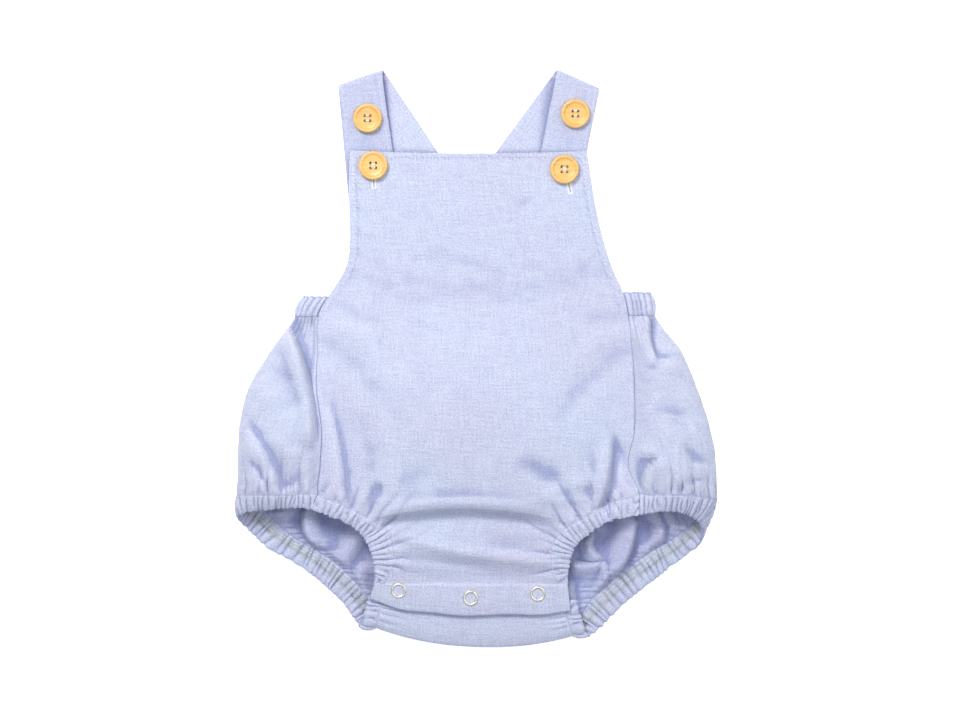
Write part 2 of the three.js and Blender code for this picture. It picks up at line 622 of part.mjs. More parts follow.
function strapPoint(frame, along1, width) {
  const flat = frame.start.clone().addScaledVector(frame.direction, along1).addScaledVector(frame.across, width);
  const offset = flat.clone().sub(frame.shoulder);
  const bendStart = -STRAP_BEND_RADIUS;
  const past = offset.dot(frame.beyond) - bendStart;
  const side = offset.dot(frame.creaseLine);
  const bendLength = Math.PI * STRAP_BEND_RADIUS;
  const base = STRAP_CLOTH / 2;
  let out = past + bendStart;
  let z = base;
  if (past > bendLength) {
    out = bendStart - (past - bendLength);
    z = strapFrontHeight(frame, past - bendLength);
  } else if (past > 0) {
    out = bendStart + STRAP_BEND_RADIUS * Math.sin(past / STRAP_BEND_RADIUS);
    z = base + STRAP_BEND_RADIUS * (1 - Math.cos(past / STRAP_BEND_RADIUS));
  } else {
    const crossing = Math.hypot(flat.x - CROSSING.x, flat.y - CROSSING.y) / CROSSING.reach;
    z += frame.s.lift * smooth((1 - crossing) * 3);
    z += STRAP_WAIST_LIFT * smooth((50 - flat.y) / 10);
  }
  const x = frame.shoulder.x + frame.creaseLine.x * side + frame.beyond.x * out;
  const y = frame.shoulder.y + frame.creaseLine.y * side + frame.beyond.y * out;
  return new THREE.Vector3(x, y, z);
}

function strap(side) {
  const frame = strapFrame(side);
  const total = frame.length + Math.PI * STRAP_BEND_RADIUS / 2 + frame.s.frontLength;
  const bend = frame.length;
  const rows = [0, 12, 17, 22, 27, 33, 44, 56, 68, 82, 98, 114, bend - 16];
  for (let a = bend - 12; a <= bend + 18; a += 2) rows.push(a);
  for (const share of [0.3, 0.5, 0.75, 1]) rows.push(lerp(bend + 18, total, share));
  const widths = steps(4, -STRAP_WIDTH / 2, STRAP_WIDTH / 2);
  const points = rows.flatMap((a) => widths.map((w) => strapPoint(frame, a, w)));
  return wall(points, netFaces(rows.length, widths.length, true), STRAP_CLOTH / 2);
}

// The button: a turned disc with a raised rim and four holes.
function buttonGeometry() {
  const r = BUTTON_DIAMETER / 2;
  const h = BUTTON_THICKNESS;
  const profile = [
    [0, 0], [r * 0.86, 0], [r, h * 0.35], [r, h * 0.72], [r * 0.93, h], [r * 0.8, h], [r * 0.68, h * 0.66], [0, h * 0.66],
  ].map(([x, y]) => new THREE.Vector2(x, y));
  const disc = solid(new THREE.LatheGeometry(profile, 20).rotateX(Math.PI / 2));
  let made = disc;
  for (const [sx, sy] of [[1, 1], [-1, 1], [-1, -1], [1, -1]]) {
    const drill = new THREE.CylinderGeometry(BUTTON_HOLE_RADIUS, BUTTON_HOLE_RADIUS, h * 3, 6).rotateX(Math.PI / 2);
    drill.translate((sx * BUTTON_HOLE_SPACING) / 2, (sy * BUTTON_HOLE_SPACING) / 2, 0);
    made = made.subtract(solid(drill));
  }
  return geometryOf(made);
}

function solid(geometry) {
  const bare = geometry.clone();
  bare.deleteAttribute("normal");
  bare.deleteAttribute("uv");
  const merged = mergeVertices(bare, 1e-4);
  const mesh = new wasm.Mesh({
    numProp: 3,
    vertProperties: new Float32Array(merged.attributes.position.array),
    triVerts: new Uint32Array(merged.index.array),
  });
  return new wasm.Manifold(mesh);
}

function geometryOf(manifold) {
  const mesh = manifold.getMesh();
  const geometry = new THREE.BufferGeometry();
  geometry.setAttribute("position", new THREE.BufferAttribute(mesh.vertProperties, 3));
  geometry.setIndex(new THREE.BufferAttribute(mesh.triVerts, 1));
  return geometry;
}

function snapRing() {
  const middle = (SNAP_OUTER_RADIUS + SNAP_INNER_RADIUS) / 2;
  const profile = [
    [SNAP_INNER_RADIUS, 0], [SNAP_OUTER_RADIUS, 0], [SNAP_OUTER_RADIUS, SNAP_HEIGHT * 0.5], [middle, SNAP_HEIGHT],
    [SNAP_INNER_RADIUS, SNAP_HEIGHT * 0.5], [SNAP_INNER_RADIUS, 0],
  ].map(([x, y]) => new THREE.Vector2(x, y));
  return new THREE.LatheGeometry(profile, 16).rotateX(Math.PI / 2);
}

// The hidden half of a snap, standing between the folded-up flap and the placket.
function snapStud(height) {
  const profile = [
    [0, 0], [STUD_RADIUS, 0], [STUD_RADIUS, height * 0.4], [STUD_POST_RADIUS, height * 0.6], [STUD_POST_RADIUS, height], [0, height],
  ].map(([x, y]) => new THREE.Vector2(x, y));
  return new THREE.LatheGeometry(profile, 12).rotateX(Math.PI / 2);
}

function placket() {
  const columns = steps(15, 0, PLACKET_COLUMNS.length - 1);
  const points = [];
  for (const share of [0, 0.5, 1]) {
    for (const column of columns) {
      const at = (key) => along(PLACKET_COLUMNS, key, column);
      points.push(new THREE.Vector3(lerp(at("topX"), at("bottomX"), share), lerp(at("topY"), at("bottomY"), share), PLACKET_MID_Z));
    }
  }
  return wall(points, netFaces(3, columns.length), PLACKET_CLOTH / 2);
}

const romper = new THREE.Group();
function addPiece(name, geometry, finish, x = 0, y = 0, z = 0) {
  const mesh = new THREE.Mesh(geometry, finish);
  mesh.name = name;
  mesh.position.set(x, y, z);
  romper.add(mesh);
  return mesh;
}

addPiece("front_panel", frontPanel(), finishes.cloth);
addPiece("back_panel", backPanel(), finishes.cloth);
addPiece("waist_casing", waistCasing(), finishes.cloth);
addPiece("front_placket", placket(), finishes.cloth);
for (const side of ["left", "right"]) {
  addPiece("leg_casing_front_" + side, frontCasing(side), finishes.cloth);
  addPiece("leg_casing_back_" + side, backCasing(side), finishes.cloth);
  addPiece("strap_" + side, strap(side), finishes.cloth);
}
const r = BUTTON_DIAMETER / 2;
for (const [name, b] of Object.entries(BUTTONS)) {
  const frame = strapFrame(name.endsWith("left") ? "left" : "right");
  const height = (y) => {
    if (b.on === "bib") return BIB_BUTTON_Z;
    const out = new THREE.Vector2(b.x, y).sub(frame.shoulder).dot(frame.beyond);
    return strapFrontHeight(frame, -out - STRAP_BEND_RADIUS) + STRAP_CLOTH / 2 + SEAM_GAP;
  };
  const mesh = addPiece(name, buttonGeometry(), finishes.button, b.x, b.y, (height(b.y + r) + height(b.y - r)) / 2 + 0.1);
  mesh.rotation.x = Math.atan2(height(b.y + r) - height(b.y - r), 2 * r);
}
const flapTop = BACK_LEG_ROWS.left.at(-1).mz + CLOTH / 2;
const placketUnder = PLACKET_MID_Z - PLACKET_CLOTH / 2;
SNAPS.forEach((s, i) => {
  const stud = snapStud(placketUnder - flapTop - 2 * SEAM_GAP);
  addPiece("snap_stud_" + (i + 1), stud, finishes.snap, s.x, s.y - 1, flapTop + SEAM_GAP);
  addPiece("snap_ring_" + (i + 1), snapRing(), finishes.snap, s.x, s.y, PLACKET_MID_Z + PLACKET_CLOTH / 2 + SEAM_GAP);
});

export default romper;
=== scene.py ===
# A baby's bib romper with bubble legs, laid flat on its back on a pale floor.
# The surfaces are worked out in millimetres, in the same frame as the CAD part, and made in metres.
import bpy
import math
import numpy as np
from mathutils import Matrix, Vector


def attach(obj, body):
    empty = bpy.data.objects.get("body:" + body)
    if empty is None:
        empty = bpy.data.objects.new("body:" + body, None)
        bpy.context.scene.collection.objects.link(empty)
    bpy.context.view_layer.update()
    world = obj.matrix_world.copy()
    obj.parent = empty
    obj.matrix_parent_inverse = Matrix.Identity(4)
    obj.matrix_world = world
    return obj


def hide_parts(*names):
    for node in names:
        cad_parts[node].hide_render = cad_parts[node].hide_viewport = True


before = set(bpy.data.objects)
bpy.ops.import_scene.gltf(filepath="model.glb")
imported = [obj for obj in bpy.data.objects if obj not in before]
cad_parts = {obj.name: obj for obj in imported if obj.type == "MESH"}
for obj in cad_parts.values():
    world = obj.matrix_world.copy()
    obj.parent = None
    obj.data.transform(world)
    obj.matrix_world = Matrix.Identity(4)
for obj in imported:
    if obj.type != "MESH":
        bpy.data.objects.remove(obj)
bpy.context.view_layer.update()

MM = 0.001
# How thick the cloth is, how far apart the sewn pieces lie, and how finely the seat is divided.
CLOTH = 1.2
STRAP_CLOTH = 1.6
SEAM_GAP = 0.15
FINE = 1.0
UP = np.array([0.0, 0.0, 1.0])
SIDES = ("left", "right")


# Camera, floor and light

def add_object(name, data):
    thing = bpy.data.objects.new(name, data)
    bpy.context.collection.objects.link(thing)
    return thing


def add_camera():
    data = bpy.data.cameras.new("overhead")
    data.lens, data.sensor_width = 85, 36
    camera = add_object("overhead", data)
    camera.location = (0.0022, -0.0012, 1.415)
    bpy.context.scene.camera = camera


def add_area_light(name, place, aim, size, power, colour=(1, 1, 1)):
    data = bpy.data.lights.new(name, "AREA")
    data.size, data.energy, data.color = size, power, colour
    lamp = add_object(name, data)
    lamp.location = place
    lamp.rotation_euler = (Vector(aim) - Vector(place)).to_track_quat("-Z", "Y").to_euler()


def add_studio():
    world = bpy.data.worlds.new("soft white room")
    world.use_nodes = True
    background = world.node_tree.nodes["Background"]
    background.inputs["Color"].default_value = (0.74, 0.83, 1.0, 1)
    background.inputs["Strength"].default_value = 0.245
    bpy.context.scene.world = world
    bpy.context.scene.view_settings.view_transform = "Standard"
    add_area_light("key", (-0.3, 0.52, 0.78), (0, 0.03, 0), 0.36, 7.6, (1.0, 0.985, 0.965))
    add_area_light("side", (0.56, 0.24, 0.8), (0, 0.0, 0), 0.6, 3.0)
    add_area_light("fill", (0.0, -0.5, 1.2), (0, -0.02, 0), 0.8, 5.0, (0.90, 0.92, 1.0))
    mesh = bpy.data.meshes.new("floor")
    reach, level = 3.0, -0.0004
    corners = [(x * reach, y * reach, level) for x, y in ((-1, -1), (1, -1), (1, 1), (-1, 1))]
    mesh.from_pydata(corners, [], [(0, 1, 2, 3)])
    floor = add_object("floor", mesh)
    mesh.materials.append(floor_material())


# Materials

def fill(tree, node, inputs):
    """Gives each of a node's inputs its value, or a link from another node's output."""
    for key, value in inputs.items():
        if isinstance(value, bpy.types.NodeSocket):
            tree.links.new(value, node.inputs[key])
        else:
            node.inputs[key].default_value = value


def add_node(tree, kind, inputs=None, **settings):
    node = tree.nodes.new(kind)
    for word, value in settings.items():
        setattr(node, word, value)
    fill(tree, node, inputs or {})
    return node


def math_node(tree, operation, first, second):
    return add_node(tree, "ShaderNodeMath", {0: first, 1: second}, operation=operation).outputs[0]


def noise(tree, vector, scale, detail=2.0, roughness=0.5, dimensions="3D"):
    inputs = {"Vector": vector, "Scale": scale, "Detail": detail, "Roughness": roughness}
    return add_node(tree, "ShaderNodeTexNoise", inputs, noise_dimensions=dimensions).outputs["Fac"]


def colour_ramp(tree, value, *stops):
    """A ramp between two colours, each given as its place on the ramp and its red, green and blue."""
    ramp = add_node(tree, "ShaderNodeValToRGB", {0: value})
    for element, (place, colour) in zip(ramp.color_ramp.elements, stops):
        element.position, element.color = place, (*colour, 1)
    return ramp.outputs[0]


def multiply_colour(tree, factor, first, second):
    inputs = {"Factor": factor, 6: first, 7: second}
    mix = add_node(tree, "ShaderNodeMix", inputs, data_type="RGBA", blend_type="MULTIPLY", clamp_factor=True)
    return mix.outputs[2]


def relief(tree, height, strength, distance):
    inputs = {"Strength": strength, "Distance": distance, "Height": height}
    return add_node(tree, "ShaderNodeBump", inputs).outputs[0]


def new_material(name):
    material = bpy.data.materials.new(name)
    material.use_nodes = True
    return material, material.node_tree, material.node_tree.nodes["Principled BSDF"]


def new_group(name, kind, sockets):
    """An empty node group with its named inputs and outputs, and the nodes that bring them in and out."""
    group = bpy.data.node_groups.new(name, kind)
    for word, way, socket in sockets:
        group.interface.new_socket(word, in_out=way, socket_type="NodeSocket" + socket)
    return group, group.nodes.new("NodeGroupInput").outputs, group.nodes.new("NodeGroupOutput")


def floor_material():
    material, tree, surface = new_material("matte white paper")
    fill(tree, surface, {
        "Base Color": (0.95, 0.95, 0.95, 1), "Roughness": 0.9,
        "Emission Color": (1, 1, 1, 1), "Emission Strength": 0.5,
    })
    return material


def slub_weave_group():
    """Uneven threads of a crinkled plain weave: thick and thin yarns both ways, and a fine crepe grain."""
    names = ("Thread pitch", "Slub length", "Slub", "Grain")
    group, given, result = new_group("slub weave", "ShaderNodeTree", [
        ("Coordinates", "INPUT", "Vector"), *((name, "INPUT", "Float") for name in names),
        *((name, "OUTPUT", "Float") for name in ("Tone", "Height", "Cloud")),
    ])
    coordinates = given["Coordinates"]
    across = math_node(group, "DIVIDE", 1.0, given["Thread pitch"])
    lengthwise = math_node(group, "DIVIDE", 1.0, given["Slub length"])
    streaks = []
    for first, second in ((across, lengthwise), (lengthwise, across)):
        scale = add_node(group, "ShaderNodeCombineXYZ", {0: first, 1: second}).outputs[0]
        stretched = add_node(group, "ShaderNodeVectorMath", {0: coordinates, 1: scale}, operation="MULTIPLY")
        streaks.append(noise(group, stretched.outputs[0], 0.55, 3.0, 0.6, "2D"))
    grain = noise(group, coordinates, math_node(group, "MULTIPLY", across, 0.55), 2.0, 0.7, "2D")
    cloud = noise(group, coordinates, 14.0, 3.0, 0.5, "2D")
    both = math_node(group, "SUBTRACT", math_node(group, "ADD", *streaks), 1.0)
    slub = math_node(group, "MULTIPLY", both, given["Slub"])
    fine = math_node(group, "MULTIPLY", math_node(group, "SUBTRACT", grain, 0.5), given["Grain"])
    tone = math_node(group, "ADD", math_node(group, "ADD", slub, fine), 0.5)
    fill(group, result, {"Tone": tone, "Height": tone, "Cloud": cloud})
    return group


# What each attribute's full value does to the cloth's colour: its name, its sign and its tint. The first two
# paint shade into folds and a highlight onto crests; the third is a deeper tone for the cloth's wrong side
# that also paints the shade inside the legs; the last paints shade on each strap's folded-over end.
TINTS = (
    ("painted_shade_and_highlight", 1.0, (0.64, 0.66, 0.80)),
    ("painted_shade_and_highlight", -1.0, (1.08, 1.06, 1.05)),
    ("wrong_side_and_shade", 1.0, (0.82, 0.83, 0.92)),
    ("front_end_shade", 1.0, (0.80, 0.82, 0.90)),
)


def cloth_material(name, light, dark):
    material, tree, surface = new_material(name)
    uv = add_node(tree, "ShaderNodeUVMap", uv_map="cloth").outputs[0]
    threads = add_node(tree, "ShaderNodeGroup", node_tree=slub_weave_group())
    yarn = {"Thread pitch": 0.0006, "Slub length": 0.008, "Slub": 0.85, "Grain": 2.0}
    fill(tree, threads, {"Coordinates": uv, **yarn})
    tones = {"Factor": threads.outputs["Tone"], 6: (*dark, 1), 7: (*light, 1)}
    plain = add_node(tree, "ShaderNodeMix", tones, data_type="RGBA", clamp_factor=True).outputs[2]
    clouds = colour_ramp(tree, threads.outputs["Cloud"], (0.34, (0.975, 0.94, 0.955)), (0.66, (0.975, 1, 1)))
    shade = multiply_colour(tree, 1.0, plain, clouds)
    for word, sign, tint in TINTS:
        given = add_node(tree, "ShaderNodeAttribute", attribute_name=word).outputs["Fac"]
        shade = multiply_colour(tree, math_node(tree, "MULTIPLY", given, sign), shade, (*tint, 1))
    fill(tree, surface, {
        "Base Color": shade, "Normal": relief(tree, threads.outputs["Height"], 0.7, 0.00034),
        "Roughness": 0.92, "Specular IOR Level": 0.15, "Sheen Weight": 0.25, "Sheen Roughness": 0.6,
    })
    return material


def thread_material(name, colour, roughness=0.6, scale=2600, darkest=0.72):
    """Twisted cotton: a fine variation in its tone and relief. Also used for the dark marks that paint shade
    in needle holes and buttonhole slits.
    """
    material, tree, surface = new_material(name)
    twist = noise(tree, add_node(tree, "ShaderNodeTexCoord").outputs["Object"], scale)
    low = tuple(darkest * channel for channel in colour)
    fill(tree, surface, {
        "Base Color": colour_ramp(tree, twist, (0.3, low), (0.6, colour)),
        "Normal": relief(tree, twist, 0.5, 0.0001), "Roughness": roughness, "Sheen Weight": 0.2,
    })
    return material


def button_material():
    material, tree, surface = new_material("honey lacquered wood")
    place = add_node(tree, "ShaderNodeTexCoord").outputs["Object"]
    turned = {"Vector": place, "Scale": (60, 620, 60), "Rotation": (0, 0, 0.5)}
    grain = noise(tree, add_node(tree, "ShaderNodeMapping", turned).outputs[0], 1.0, 4.0)
    fill(tree, surface, {
        "Base Color": colour_ramp(tree, grain, (0.25, (0.75, 0.40, 0.10)), (0.75, (0.89, 0.56, 0.185))),
        "Roughness": 0.38, "Coat Weight": 0.3, "Coat Roughness": 0.25,
    })
    return material


def snap_material():
    material, tree, surface = new_material("pale brass")
    wear = noise(tree, add_node(tree, "ShaderNodeTexCoord").outputs["Object"], 900)
    fill(tree, surface, {
        "Base Color": colour_ramp(tree, wear, (0.0, (0.72, 0.68, 0.48)), (1.0, (0.93, 0.91, 0.80))),
        "Metallic": 0.85, "Roughness": 0.32,
    })
    return material


# Tables of the garment's shape, in millimetres

def table(rows):
    return np.array(rows, dtype=float)


# The front panel's left edge x, y and z, middle y and z, and right edge x, y and z, from the bib down.
FRONT_ROWS = table([
    [-78.6, 129.0, 7.0, 127.2, 6.6, 68.6, 128.8, 7.0],
    [-79.4, 105, 6.6, 105, 6.4, 72.0, 105, 6.6],
    [-78.6, 85, 6.4, 85, 6.6, 75.8, 85, 6.4],
    [-79.2, 64, 6.6, 64, 6.8, 81.4, 64, 6.6],
    [-83.6, 51, 7.4, 51, 7.6, 85.8, 52, 7.4],
    [-91.6, 38.4, 9.2, 38, 9.6, 90.6, 41, 9.2],
    [-98.2, 25.5, 10.5, 24, 13, 94, 26, 10.5],
    [-98.3, 4.3, 12.8, 4, 18.5, 96.4, 4.3, 12.8],
    [-98.9, -18, 14.6, -18, 22.2, 97.6, -18, 14.6],
    [-95.6, -43, 16.2, -43, 24.4, 97.4, -44, 16.2],
    [-96.2, -65, 17.2, -67, 24.4, 93.4, -66, 17.2],
    [-97.4, -83.8, 18, -85, 22.6, 100, -83.3, 18],
    [-87.7, -88.7, 19, -92, 20.4, 89, -87.4, 19],
    [-74.5, -95, 19, -97, 18.6, 77.2, -93, 19],
    [-64.8, -99.6, 18.2, -102, 17.2, 64.2, -99.8, 18.2],
    [-56.7, -105.8, 17, -108.5, 16, 53, -106.6, 17],
    [-51.8, -114.7, 15.6, -116, 15, 47.4, -114.7, 15.6],
    [-51.2, -124.4, 13.8, -125, 13.8, 46.2, -124, 13.8],
    [-53.6, -132.4, 12.2, -132.5, 12.2, 47.2, -132.5, 12.2],
    [-57.4, -138.4, 11, -138.9, 11, 50.5, -138.6, 11],
])
LX, LY, LZ, MY, MZ, RX, RY, RZ = range(8)
SIDE_COLUMNS = {"left": [LX, LY, LZ], "right": [RX, RY, RZ]}
# Which way is outward on each side, and the front panel's t at each of its edges.
OUTWARD = {"left": -1, "right": 1}
EDGE_T = {"left": 0.0, "right": 1.0}
# The front rows where the leg opening begins and where the panel ends, and the top of the bib.
LEG_START, FRONT_LAST, BIB_TOP = 11, 19, 128.8
# The opening edge of each front leg casing.
FRONT_LEG_EDGE = {
    "left": table([
        [-102.8, -93, 17.2], [-92.2, -97, 17.4], [-81.5, -101.4, 17], [-74.2, -106, 16.4],
        [-69, -112.4, 15.4], [-65.6, -119.6, 14], [-63.7, -127.4, 12.6], [-63, -134, 11.4],
        [-63.4, -138.6, 11],
    ]),
    "right": table([
        [99.4, -97.2, 17.2], [88, -99.2, 17.4], [79.4, -102, 17], [70.6, -108, 16.4], [63.6, -113.4, 15.4],
        [59.8, -120, 14], [57.6, -128, 12.6], [56.8, -134, 11.4], [57, -138.8, 11],
    ]),
}
# The wrapped sides: crest x, crest z and fold x for each front row from the first.
SEAT_SIDES = {
    "start": 6, "spacing": 1.0,
    "left": table([[-103.6, 11.4, -112.4], [-108.4, 18.6, -126.8], [-114.2, 23.6, -140], [-118.6, 26.2, -146],
                   [-120, 26, -147], [-120, 22.9, -147.9]]),
    "right": table([[101.4, 11.4, 110.4], [107.5, 18.6, 126], [114.2, 23.6, 135.6], [118.6, 26.2, 144],
                    [120, 26, 147.8], [120, 22.9, 148.3]]),
}
WAIST_SIDES = {
    "start": 5, "spacing": 0.5,
    "left": table([[-97.2, 10, -107.2], [-100.4, 10.8, -109.8], [-103.6, 11.4, -112.4]]),
    "right": table([[99, 10, 107.8], [100.4, 10.8, 109.4], [101.4, 11.4, 110.4]]),
}
# Units run round a wrapped side: from the seam over the crest to the seat on the floor.
CREST_UNIT, SIDE_UNITS = 2, 8
# The back panel's leg seam x, y and z and the casing's opening edge x, y and z.
BACK_LEG_ROWS = {
    "left": table([
        [-98, -84, 18, -103.4, -93.1, 17.2],
        [-109, -84, 21.4, -112, -91.9, 19],
        [-120, -84, 22.9, -125.6, -93, 17.6],
        [-134, -84, 21.4, -138, -94.5, 15.4],
        [-144.4, -84.2, 17.2, -146.4, -97, 12],
        [-147.9, -84.8, 11.7, -147.9, -99.3, 8.2],
        [-144.6, -87, 6.2, -147.2, -101.6, 4.4],
        [-138, -91.2, 2, -144.6, -104.8, 2.2],
        [-130.5, -97, 0.6, -138.4, -111, 1.4],
        [-122, -105.6, 0.6, -129.2, -119, 1.4],
        [-113, -112.6, 0.6, -117, -125.4, 1.4],
        [-101, -119.4, 0.6, -104.6, -133.6, 1.4],
        [-89, -127.2, 0.6, -92.6, -143.6, 1.4],
        [-78.4, -137, 0.6, -83.4, -152.8, 1.4],
        [-69.6, -147.4, 0.6, -77.4, -160.8, 1.5],
        [-64.4, -158, 0.7, -74.4, -165, 2.2],
        [-62.4, -167.4, 3.8, -72.4, -167.3, 4.4],
        [-61.5, -162.5, 6.9, -70.8, -163, 6.9],
        [-59.6, -154, 7.2, -69.2, -155, 7.2],
        [-58, -146, 7.2, -67.2, -147.4, 7.2],
    ]),
    "right": table([
        [100.6, -83.6, 18, 100, -97.1, 17.2],
        [110, -84, 21.4, 107, -95.6, 19],
        [120, -84, 22.9, 117.4, -94.2, 18.2],
        [134.2, -84.4, 21.4, 127.4, -95.8, 16.6],
        [144.8, -86, 17.2, 135, -99.6, 13.2],
        [148.3, -88.6, 11.6, 139.6, -105.4, 8.4],
        [145.6, -92.4, 6.2, 140.6, -112, 4.6],
        [139.4, -98.6, 2.1, 137.4, -118, 2.3],
        [131.5, -106, 0.6, 130.4, -123.6, 1.4],
        [122, -113.4, 0.6, 121.8, -129.8, 1.4],
        [111, -119.4, 0.6, 112.6, -137, 1.4],
        [100, -127, 0.6, 103, -144.4, 1.4],
        [89, -135.2, 0.6, 93.6, -152, 1.4],
        [79, -143.8, 0.6, 85, -160.4, 1.4],
        [70, -153.4, 0.6, 77.8, -167.6, 1.5],
        [63.4, -163.6, 0.7, 73, -171.6, 2.2],
        [60, -172.4, 3.8, 70.2, -173.4, 4.4],
        [58.2, -167.5, 6.9, 68, -169, 6.9],
        [55.6, -158, 7.2, 65.2, -160, 7.2],
        [53.4, -149, 7.2, 62.4, -150.6, 7.2],
    ]),
}
# The row of that table where the seam reaches the floor, and its last row.
FLOOR_ROW, BACK_LAST = 8, 19
# The y of the back's middle at each of those rows.
BACK_MIDDLE = table([[-96, -104, -112, -120, -130, -142, -155, -169, -179.2, -172.5, -160, -147]]).T
# Soft folds: the two ends, the bow of the middle, the width and the height.
FRONT_FOLDS = table([
    [-54, -108.5, 52, -126, -3.0, 4.6, 2.6],
    [-50, -120, 10, -128, -2, 4, -1.2],
    [4, -112.5, 50, -114, -2, 5, -1.6],
    [-48, -134, 44, -134, -1, 6, -1.2],
    [-58, -76, -70, -98, 0, 5, -2.6],
    [64, -78, 78, -93, 2, 5, -2.0],
    [-72, -34, -64, -88, 3, 8, -1.4],
    [88, -58, 86, -90, 1, 3, 2.0],
    [-100, 16, -44, -44, 5, 9, -1.3],
    [-96, 24, -60, 10, 2, 7, 1.2],
    [100, 10, 46, -40, -4, 9, -1.3],
    [98, 18, 62, 8, -2, 7, 1.0],
    [24, -62, 68, -96, 5, 8, -2.6],
    [40, -84, 70, -78, 4, 6, 1.2],
    [-24, -64, -64, -98, -3, 10, -1.3],
    [-70, 46, 70, 44, -4, 12, -0.8],
    [-44, 66, 20, 52, 3, 14, -0.8],
    [30, 96, 66, 58, -4, 12, 0.9],
])
SIDE_FOLDS = table([
    [-134, -36, -110, -62, -3, 6, 1.8],
    [-126, -2, -116, -34, 3, 8, -1.8],
    [-140, -20, -130, -50, 3, 9, -1.6],
    [126, -50, 144, -67, -2, 6, -2.6],
    [121, -84, 143, -72, 2, 3, -1.8],
    [124, -52, 131, -84, -2, 5, 2.0],
    [108, -30, 130, -46, 3, 7, -1.8],
    [128, -6, 122, -36, -3, 9, -1.6],
])
# Where cloth hangs over: the line (the drop is on its right) and its bow, the lip's height, the drop below
# it, how wide the drop is, how fast the cloth rises again, and the share of the line over which it fades out
# at its far end. The first is the belly's blouse over the crotch.
FRONT_LAPS = table([
    [-67, -99.2, 62, -102.6, 9.0, 2.4, 4.0, 6.5, 12, 0.35],
    [-82.5, -94, -98, -12, -3.3, 1.4, 3.0, 4.6, 9, 0.75],
    [71.5, -97, 80.5, -42, -5.0, 1.8, 5.4, 5.5, 6, 0.4],
])
SIDE_LAPS = table([
    [-99.0, -54, -123.0, 30, -6.0, 3.8, 8.0, 2.4, 12, 0.2],
    [-121, -87, -148, -34, -3, 1.8, 4.6, 5.5, 9, 0.5],
    [113.5, -61, 105.5, -89, -6, 1.8, 3.6, 3, 6, 0.1],
    [112, -4, 107, 27, 3, 1.8, 5.4, 2.8, 6, 0.16],
    [-128, -88, -142, -62, -2, 1.2, 3.2, 2.8, 5, 0.5],
])
# The creased cloth inside the legs: the ends, the bow, how far a crease falls away on its left and its right,
# and its height.
INNER_FOLDS = table([
    [-133, -108, -114, -90, 2, 2.2, 7, 6],
    [-98, -119, -103, -86, 6, 1.8, 9, 7],
    [-86, -130, -68, -102, 0, 8, 5, 5],
    [-76, -150, -70, -128, 2, 3, 5, 4],
    [84, -139, 98, -88, -5, 11, 1.6, 9],
    [76, -147, 79, -126, -3.5, 5, 1.6, 7],
    [79, -126, 71, -110, 3.5, 6, 1.8, 6.5],
    [58, -126.5, 79, -126, -3, 1.8, 6, 5.5],
    [106, -98, 116, -104, 2, 5, 2.4, 6],
    [106, -123, 115, -104, -4, 6, 1.8, 7],
    [58, -140, 64, -160, -2, 3, 5, 4],
    [122, -110, 133, -94, 2, 4, 4, 3.5],
])
# The placket's upper edge x and y and lower edge x and y, from left to right.
PLACKET_COLUMNS = table([
    [-63.2, -139.2, -66.2, -149.6], [-45, -139.4, -47, -155.4], [-20, -139.6, -22.6, -158.6],
    [8, -139.7, 9.5, -159.3], [34, -139.4, 36.9, -158.8], [56.6, -139.3, 58.4, -157.4],
])
PLACKET_Z, PLACKET_HALF = 10.8, 1.0
SNAPS = [(-48.2, -143.8), (-3.6, -148.4), (38, -145.8)]


# Surfaces

def lerp(a, b, t):
    return a + (b - a) * t


def smooth(t):
    s = np.clip(t, 0, 1)
    return s * s * (3 - 2 * s)


def along(rows, at):
    """The rows of a table as a smooth curve, at fractional row numbers."""
    last = len(rows) - 1
    at = np.asarray(at, dtype=float)
    i = np.clip(np.floor(at).astype(int), 0, last - 1)
    t = (at - i)[..., None]
    a, b, c, d = (rows[np.clip(i + k, 0, last)] for k in (-1, 0, 1, 2))
    return b + 0.5 * t * (c - a + t * (2 * a - 5 * b + 4 * c - d + t * (3 * (b - c) + d - a)))


def by_line(line, x, y):
    """Where points lie beside a straight line: the share of its length, and how far to its left."""
    x0, y0, x1, y1 = line
    dx, dy = x1 - x0, y1 - y0
    length = math.hypot(dx, dy)
    return ((x - x0) * dx + (y - y0) * dy) / length ** 2, ((y - y0) * dx - (x - x0) * dy) / length


def fold_height(folds, x, y):
    height = np.zeros_like(x)
    for *line, bow, width, lift in folds:
        t, left = by_line(line, x, y)
        ends = np.clip(4 * t * (1 - t), 0, 1) * ((t > 0) & (t < 1))
        height += lift * ends ** 0.7 * np.exp(-(((left - bow * ends) / width) ** 2))
    return height


def crease_height(creases, x, y):
    """Creases that fall away differently on their two sides. Where two meet, the higher one shows."""
    height = np.zeros_like(x)
    for *line, bow, wide_left, wide_right, lift in creases:
        t, left = by_line(line, x, y)
        away = left - bow * 4 * t * (1 - t)
        ends = smooth((t + 0.12) / 0.3) * smooth((1.12 - t) / 0.3)
        falling = np.exp(-((away / np.where(away > 0, wide_left, wide_right)) ** 2))
        height = np.maximum(height, lift * ends * falling)
    return height


def lap_height(laps, x, y):
    """Cloth that hangs over in a soft lip along a line and is drawn in beyond it."""
    height = np.zeros_like(x)
    for *line, bow, lip, drop, width, recover, fade in laps:
        t, left = by_line(line, x, y)
        beyond = bow * 4 * t * (1 - t) - left
        ends = smooth((t + 0.02) / 0.16) * smooth((1.02 - t) / fade)
        rising = np.exp(-(np.clip(beyond - width, 0, None) / recover) ** 1.3)
        dip = np.sin(np.clip(beyond / width, 0, 1) * math.pi / 2) * rising
        height += ends * (lip * np.exp(-((beyond + 2.5) / 4.5) ** 2) - drop * dip)
    return height


